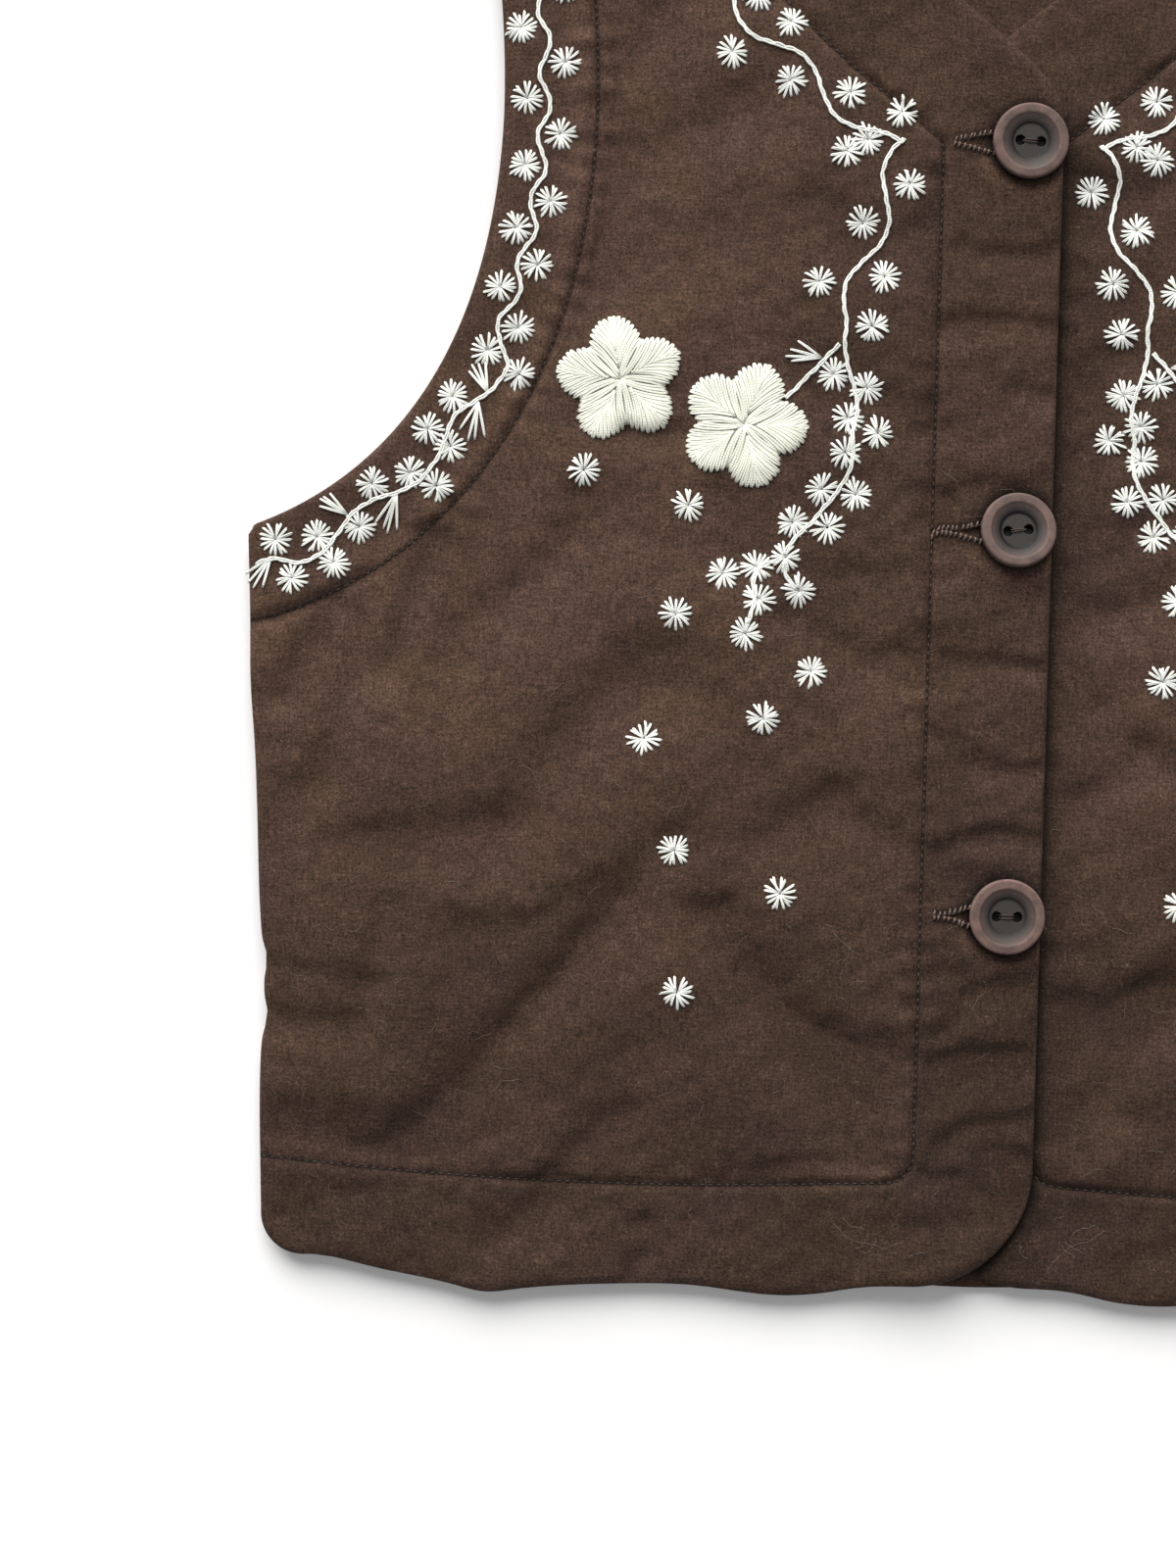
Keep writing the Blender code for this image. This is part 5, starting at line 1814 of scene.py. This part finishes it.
def make_flower(name, side, flower, cloth, embroidery):
    """A raised flower: a padded ground of thread and strands laid over it petal by petal."""
    _, x, y, degrees, bluntness = flower
    turn = math.radians(degrees)
    front = make_front_surface(side, cloth.crumple)
    random = np.random.default_rng(int(degrees) + (5 if side > 0 else 9))
    dome = embroidery.dome / MM
    centre = np.array([x, y])
    strands = flower_strands(turn, bluntness, random)
    radius = 1.72 * embroidery.strand_radius / MM
    shares = STRAND_SHARES
    ends = 0.6 * bell(shares, 0.05) + 0.16 * bell(1 - shares, 0.08)
    stitches = len(strands) // (4 * PETALS)
    ripple = random.normal(0.0, 0.035, (2 * PETALS, 2, stitches, 1))
    sunk = np.broadcast_to(np.array([0.0, -0.10]).reshape(1, 2, 1, 1), ripple.shape)
    arch = pad_height(strands, turn, bluntness, dome) + 0.75 * radius - 0.5 * ends
    arch += ripple.reshape(-1, 1) * (1 - bell(shares, 0.1))
    arch += sunk.reshape(-1, 1) * ramp(shares, 0.1, 0.6)
    taper = radius * (1 - 0.05 * shares - 0.4 * bell(shares, 0.04) - 0.2 * bell(1 - shares, 0.1))
    threads = Threads()
    threads.add(sewn(front, centre + strands, arch), taper, 6, 0.42)
    angle = np.linspace(0.0, math.tau, 121)[:-1]
    level = np.linspace(0.0, 1.0, 13)[1:, None]
    edge = 0.93 * FLOWER_RADIUS * petal_reach(angle - turn, bluntness)
    pad = polar(level * edge, angle)
    material = thread_material("cream embroidery thread", embroidery.colour, 0.94, 0.25, 0.46)
    piece = threads.build(name, material, "embroidery_thread", side)
    make_pad(name + "_padding", front, centre, pad, turn, bluntness, dome, side, material)
    return piece


def make_pad(name, front, centre, pad, turn, bluntness, dome, side, material):
    """The closed padding under a flower: rings of places joined over and under."""
    rings, sides = pad.shape[:2]
    flat = pad.reshape(-1, 2)
    ground = front.top(centre + flat)
    middle = front.top(centre[None])
    crown = pad_height(np.zeros((1, 2)), turn, bluntness, dome)
    upper = to_frame(centre + flat, ground + pad_height(flat, turn, bluntness, dome) + 0.02, side)
    lower = to_frame(centre + flat, ground - 0.5, side)
    poles = [to_frame(centre[None], middle + crown, side), to_frame(centre[None], middle - 0.5, side)]
    vertices = np.vstack([upper, lower, *poles])
    index = np.arange(rings * sides).reshape(rings, sides)
    below = index + rings * sides
    rim = ring_faces(np.stack([index[-1], below[-1]]))
    faces = np.vstack([ring_faces(index), ring_faces(index)[:, ::-1] + rings * sides, rim]).tolist()
    top_pole, low_pole = 2 * rings * sides, 2 * rings * sides + 1
    after, below_after = np.roll(index[0], -1), np.roll(below[0], -1)
    faces += [[top_pole, a, b] for a, b in zip(index[0].tolist(), after.tolist())]
    faces += [[low_pole, b, a] for a, b in zip(below[0].tolist(), below_after.tolist())]
    if side < 0:
        faces = [face[::-1] for face in faces]
    build(name, vertices, faces, material)


RAY_SHARES = np.array([0.0, 0.1, 0.4, 0.75, 1.0])
RAY_ARCH = np.array([0.0, 0.34, 0.46, 0.42, 0.28])
RAY_TAPER = np.array([0.72, 1.0, 1.02, 0.9, 0.72])
RAY_SPREAD = np.array([0.13, 0.20, 0.20, 0.13, 0.06])


def star_strands(centres, reach, random):
    """Plan places (strands, 5, 2) of stars: stitches from a ragged circle to the middle,
    each of two strands side by side."""
    strands = []
    for centre in centres:
        rays = int(random.integers(16, 19))
        angle = math.tau * (np.arange(rays) + random.uniform(-0.22, 0.22, rays)) / rays
        angle += random.uniform(0.0, math.tau)
        length = reach * random.uniform(0.86, 1.08, rays)
        heading = polar(1, angle)
        sideways = leftward(heading)
        middle = centre + random.normal(0.0, 0.18, (rays, 2))
        curl = random.normal(0.0, 0.7, rays)
        for offset in (-1.0, 1.0):
            width = offset * RAY_SPREAD
            away = length[:, None] * (1 - 0.93 * RAY_SHARES) * (1 + 0.02 * offset)
            path = middle[:, None] + away[:, :, None] * heading[:, None]
            hook = curl[:, None] * RAY_SHARES * (1 - RAY_SHARES)
            strands.append(path + (width + hook)[:, :, None] * sideways[:, None])
    return np.concatenate(strands)


def spray_strands(sprays, random):
    """Plan places (strands, 5, 2) of leaf sprays: four stitches fanned from each base."""
    strands = []
    for base_x, base_y, tip_x, tip_y in sprays:
        base, run = np.array([base_x, base_y]), np.array([tip_x - base_x, tip_y - base_y])
        for lean in (-0.36, -0.13, 0.08, 0.30):
            turn = lean + random.normal(0.0, 0.05)
            size = 1.34 - 0.7 * abs(lean) ** 1.5 + random.uniform(-0.12, 0.08)
            end = turned(run, turn) * size
            sideways = leftward(end) / np.linalg.norm(end)
            for offset in (-0.2, 0.2):
                swell = offset * np.sin(math.pi * (0.15 + 0.7 * RAY_SHARES)) * 1.1
                strands.append(base + (1 - RAY_SHARES)[:, None] * end + swell[:, None] * sideways)
    return np.stack(strands)


def arm_vine():
    """The vine round the armhole: its own places, then waves beside the band up to the
    shoulder."""
    start = rounded(ARM_VINE)
    line = moved(armhole_curve(), -0.5 * ARM_BAND + 2.0)
    line = line[line[:, 1] > ARM_VINE[-1][1] + 6.0]
    along = lengths_along(line)
    rest = moved(line, 0.55 * VINE_SWAY * np.sin(math.tau * along / VINE_PITCH))
    return rounded(joined(start, rest[:-5]))


def neck_vine():
    """The vine beside the neck: its own places, then waves beside the band up to the
    shoulder."""
    start = rounded(NECK_VINE)
    line = moved(bezier(NECK), BAND_WIDTH + 13.0)
    line = even(joined(start[-1:] + [0.5, 10.0], line[line[:, 1] > 372.0]), 3.0)
    along = lengths_along(line)
    rest = moved(line, VINE_SWAY * np.sin(math.tau * along / (2.0 * VINE_PITCH)))
    return rounded(joined(start, rest[:-5]))


def vine_stars(vine, start, offset):
    """Stars that go on up a vine, left and right of it in turn."""
    line = even(vine, 0.5)
    at = np.arange(start, length_of(line) - 4.0, STAR_STEP)
    along = headings(line)
    known = lengths_along(line)
    heading = np.stack([np.interp(at, known, axis) for axis in along.T], 1)
    side = np.where(np.arange(len(at)) % 2, offset, -offset)
    return spot(line, at) + side[:, None] * leftward(heading)


def make_stars(name, side, cloth, embroidery):
    """All the small stars of a front in one piece."""
    front = make_front_surface(side, cloth.crumple)
    random = np.random.default_rng(SEEDS["stars"] + int(side))
    arm, neck = arm_vine(), neck_vine()
    arm_start = length_of(rounded(ARM_VINE)) + 9.0
    neck_start = length_of(rounded(NECK_VINE)) + 7.0
    more_arm = vine_stars(arm, arm_start, 0.8 * STAR_OFFSET)
    more_neck = vine_stars(neck, neck_start, STAR_OFFSET)
    centres = np.vstack([np.array(STARS), more_arm, more_neck])
    strands = star_strands(centres, embroidery.star_radius / MM, random)
    ripple = random.normal(0.0, 0.06, (len(strands), 1))
    threads = Threads()
    radii = embroidery.strand_radius / MM * 1.08 * RAY_TAPER
    threads.add(sewn(front, strands, RAY_ARCH + ripple), radii)
    material = thread_material("white star thread", embroidery.star_colour, 0.93, 0.2)
    threads.build(name, material, "embroidery_thread", side)


def make_vines(name, side, cloth, embroidery):
    """The vines of a front as chain stitches, two strands that part and meet link by link,
    with their leaf sprays."""
    front = make_front_surface(side, cloth.crumple)
    random = np.random.default_rng(SEEDS["vines"] + int(side))
    threads = Threads()
    radius = embroidery.strand_radius / MM
    link = 3.8
    for vine in [arm_vine(), neck_vine()] + [rounded(branch) for branch in BRANCHES]:
        line = even(vine, 0.66)
        along = lengths_along(line)
        line = moved(line, 0.22 * np.sin(along) * np.sin(0.37 * along))
        part = np.abs(np.sin(math.pi * along / link)) ** 0.7
        for strand in (-1.0, 1.0):
            twist = strand * np.sign(np.sin(math.pi * along / link + 1e-6))
            places = moved(line, (0.2 + 0.2 * part) * strand)
            rise = 0.3 + 0.2 * (1 - part) * (twist > 0) + 0.15 * part
            threads.add(sewn(front, places[None], rise[None]), radius * 1.55)
    strands = spray_strands(SPRAYS, random)
    threads.add(sewn(front, strands, RAY_ARCH + 0.15), 1.12 * radius * RAY_TAPER)
    material = thread_material("white star thread", embroidery.star_colour, 0.93, 0.2)
    threads.build(name, material, "embroidery_thread", side)


LINT_AREA = ((-232.0, 14.0), (14.0, 380.0))
LINT_FREE_EDGE = 12.0
LINT_LENGTHS = (2.5, 11.0)
LINT_RADII = (0.024, 0.036)


def lint_paths(starts, headings_at, lengths, random):
    """Plan places (hairs, 9, 2) of loose hairs: each heading wanders as it goes."""
    wander = np.cumsum(random.normal(0.0, 0.42, (len(starts), 8)), axis=1)
    angle = headings_at[:, None] + wander
    step = lengths[:, None, None] / 8.0 * polar(1, angle)
    first = starts[:, None]
    return np.concatenate([first, first + np.cumsum(step, axis=1)], axis=1)


def make_lint(name, side, cloth, stage):
    """Fine pale hairs of lint lying on a front."""
    front = make_front_surface(side, cloth.crumple)
    random = np.random.default_rng(SEEDS["lint"] + int(side))
    starts = random.uniform(*LINT_AREA, (stage.lint_count * 2, 2))
    inside = distance(starts, *front.free) > LINT_FREE_EDGE
    beyond = (starts[:, 1] > 240.0) & (body_depth(starts) < 2.0) & (starts[:, 0] < -120.0)
    starts = starts[inside & ~beyond][: stage.lint_count]
    heading = random.uniform(0.0, math.tau, len(starts))
    length = random.uniform(*LINT_LENGTHS, len(starts))
    arch = 0.12 + 0.25 * np.abs(np.sin(np.linspace(0.0, 2.5 * math.pi, 9)))
    threads = Threads()
    threads.add(sewn(front, lint_paths(starts, heading, length, random), arch), LINT_RADII[0], 4)
    threads.add(sewn(front, long_lint(random), arch), LINT_RADII[1], 4)
    material = thread_material("pale lint", (0.34, 0.29, 0.25), 0.95, 0.0)
    threads.build(name, material, "sewing_thread", side)


def long_lint(random):
    """The few long hairs that lie where they are listed."""
    table = np.array(LONG_LINT)
    return lint_paths(table[:, :2], np.radians(table[:, 2]), table[:, 3], random)


# Stage, in metres and degrees

FLOOR_HALF = 15.0
FLOOR_DROP = 0.0002
KEY_ANGLE = 60.0
KEY_COLOUR = (1.0, 0.985, 0.965)
KEY_FROM = (-0.24, 0.97, 0.60)
FILL_COLOUR = (0.97, 0.985, 1.0, 1.0)
AIM = (-0.13065, -0.0900, 0.008)
SEEN_HEIGHT = 0.5195
SENSOR_WIDTH = 36.0
CAMERA_TURN = 1.744


def make_floor(stage):
    """The pale floor, a flat plate just under the waistcoat."""
    square = ((-1, -1), (1, -1), (1, 1), (-1, 1))
    corners = [(a * FLOOR_HALF, b * FLOOR_HALF, -FLOOR_DROP) for a, b in square]
    mesh = bpy.data.meshes.new("floor")
    mesh.from_pydata(corners, [], [(0, 1, 2, 3)])
    mesh.materials.append(floor_material(stage))
    floor = shown("floor", mesh)


def make_light(stage):
    """A broad soft key, low over the shoulders and a little to the left, and an even fill."""
    key = bpy.data.lights.new("key", "SUN")
    key.energy = stage.key
    key.angle = math.radians(KEY_ANGLE)
    key.color = KEY_COLOUR
    lamp = shown("key", key)
    lamp.rotation_euler = Vector(KEY_FROM).to_track_quat("Z", "Y").to_euler()
    world = bpy.data.worlds.new("studio")
    world.use_nodes = True
    background = world.node_tree.nodes["Background"]
    background.inputs["Color"].default_value = FILL_COLOUR
    background.inputs["Strength"].default_value = stage.fill
    bpy.context.scene.world = world
    bpy.context.scene.view_settings.view_transform = "Standard"


def make_camera(stage):
    """A camera that looks straight down, turned a little, on the wearer's right front."""
    data = bpy.data.cameras.new("camera")
    data.sensor_width = SENSOR_WIDTH
    data.lens = data.sensor_width * stage.camera_height / SEEN_HEIGHT
    camera = shown("camera", data)
    camera.location = Vector(AIM) + Vector((0.0, 0.0, stage.camera_height))
    camera.rotation_euler = (0.0, 0.0, math.radians(CAMERA_TURN))
    bpy.context.scene.camera = camera


# Operators


SIDES = (
    # name, side, what the front rests on
    ("right", 1.0, ("front_left", "back")),
    ("left", -1.0, ("back",)),
)


class WAISTCOAT_OT_stage(Operator):
    """Make the floor, the light and the camera"""

    bl_idname = "waistcoat.stage"
    bl_label = "Stage"

    def execute(self, context):
        stage = context.scene.waistcoat_stage
        make_floor(stage)
        make_light(stage)
        make_camera(stage)
        return {"FINISHED"}


class WAISTCOAT_OT_back(Operator):
    """Make the padded back and its topstitching"""

    bl_idname = "waistcoat.back"
    bl_label = "Back"

    def execute(self, context):
        make_back(context.scene.waistcoat_cloth)
        make_back_topstitching(context.scene.waistcoat_sewing)
        return {"FINISHED"}


class WAISTCOAT_OT_fronts(Operator):
    """Make the two padded fronts"""

    bl_idname = "waistcoat.fronts"
    bl_label = "Fronts"

    def execute(self, context):
        for name, side, rests_on in SIDES:
            make_front("front_" + name, side, context.scene.waistcoat_cloth)
        return {"FINISHED"}


class WAISTCOAT_OT_sewing(Operator):
    """Make the topstitching of the fronts and the worked buttonholes"""

    bl_idname = "waistcoat.sewing"
    bl_label = "Sewing"

    def execute(self, context):
        cloth, sewing = context.scene.waistcoat_cloth, context.scene.waistcoat_sewing
        for name, side, _ in SIDES:
            make_topstitching("topstitching_" + name, side, cloth, sewing)
        make_buttonholes(cloth, sewing)
        return {"FINISHED"}


class WAISTCOAT_OT_buttons(Operator):
    """Make the buttons and their threads"""

    bl_idname = "waistcoat.buttons"
    bl_label = "Buttons"

    def execute(self, context):
        for number in range(len(BUTTON_HEIGHTS)):
            make_button(number, context.scene.waistcoat_buttons)
            make_button_thread(number, context.scene.waistcoat_sewing)
        return {"FINISHED"}


class WAISTCOAT_OT_flowers(Operator):
    """Make the raised flowers"""

    bl_idname = "waistcoat.flowers"
    bl_label = "Flowers"

    def execute(self, context):
        cloth, embroidery = context.scene.waistcoat_cloth, context.scene.waistcoat_embroidery
        for name, side, _ in SIDES:
            for flower in FLOWERS:
                whole = f"{name}_{flower[0]}"
                piece = make_flower("stitched_flower_" + whole, side, flower, cloth, embroidery)
                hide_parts("flower_" + whole)
        return {"FINISHED"}


class WAISTCOAT_OT_stars(Operator):
    """Make the small stars and the vines"""

    bl_idname = "waistcoat.stars"
    bl_label = "Stars and vines"

    def execute(self, context):
        cloth, embroidery = context.scene.waistcoat_cloth, context.scene.waistcoat_embroidery
        for name, side, _ in SIDES:
            make_stars("stars_" + name, side, cloth, embroidery)
            make_vines("vines_" + name, side, cloth, embroidery)
        return {"FINISHED"}


class WAISTCOAT_OT_lint(Operator):
    """Scatter lint hairs on the fronts"""

    bl_idname = "waistcoat.lint"
    bl_label = "Lint"

    def execute(self, context):
        cloth, stage = context.scene.waistcoat_cloth, context.scene.waistcoat_stage
        for name, side, _ in SIDES:
            make_lint("lint_" + name, side, cloth, stage)
        return {"FINISHED"}


OPERATORS = (
    WAISTCOAT_OT_stage,
    WAISTCOAT_OT_back,
    WAISTCOAT_OT_fronts,
    WAISTCOAT_OT_sewing,
    WAISTCOAT_OT_buttons,
    WAISTCOAT_OT_flowers,
    WAISTCOAT_OT_stars,
    WAISTCOAT_OT_lint,
)
SETTINGS = (
    # name on the scene, group
    ("waistcoat_cloth", WAISTCOAT_PG_cloth),
    ("waistcoat_sewing", WAISTCOAT_PG_sewing),
    ("waistcoat_embroidery", WAISTCOAT_PG_embroidery),
    ("waistcoat_buttons", WAISTCOAT_PG_buttons),
    ("waistcoat_stage", WAISTCOAT_PG_stage),
)


class WAISTCOAT_PT_sidebar(Panel):
    """Settings and steps of the waistcoat"""

    bl_idname = "WAISTCOAT_PT_sidebar"
    bl_label = "Waistcoat"
    bl_space_type = "VIEW_3D"
    bl_region_type = "UI"
    bl_category = "Waistcoat"

    def draw(self, context):
        layout = self.layout
        for name, group in SETTINGS:
            settings = getattr(context.scene, name)
            box = layout.box()
            for field in group.__annotations__:
                box.prop(settings, field)
        for operator in OPERATORS:
            layout.operator(operator.bl_idname)


def register():
    """Registers the settings, the operators and the panel."""
    for name, group in SETTINGS:
        bpy.utils.register_class(group)
        setattr(bpy.types.Scene, name, PointerProperty(type=group))
    for item in (*OPERATORS, WAISTCOAT_PT_sidebar):
        bpy.utils.register_class(item)


def unregister():
    """Takes the panel, the operators and the settings away again."""
    for item in (WAISTCOAT_PT_sidebar, *reversed(OPERATORS)):
        bpy.utils.unregister_class(item)
    for name, group in reversed(SETTINGS):
        delattr(bpy.types.Scene, name)
        bpy.utils.unregister_class(group)


def main():
    """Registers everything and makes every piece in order."""
    register()
    for operator in OPERATORS:
        group, name = operator.bl_idname.split(".")
        getattr(getattr(bpy.ops, group), name)()


if __name__ == "__main__":
    main()
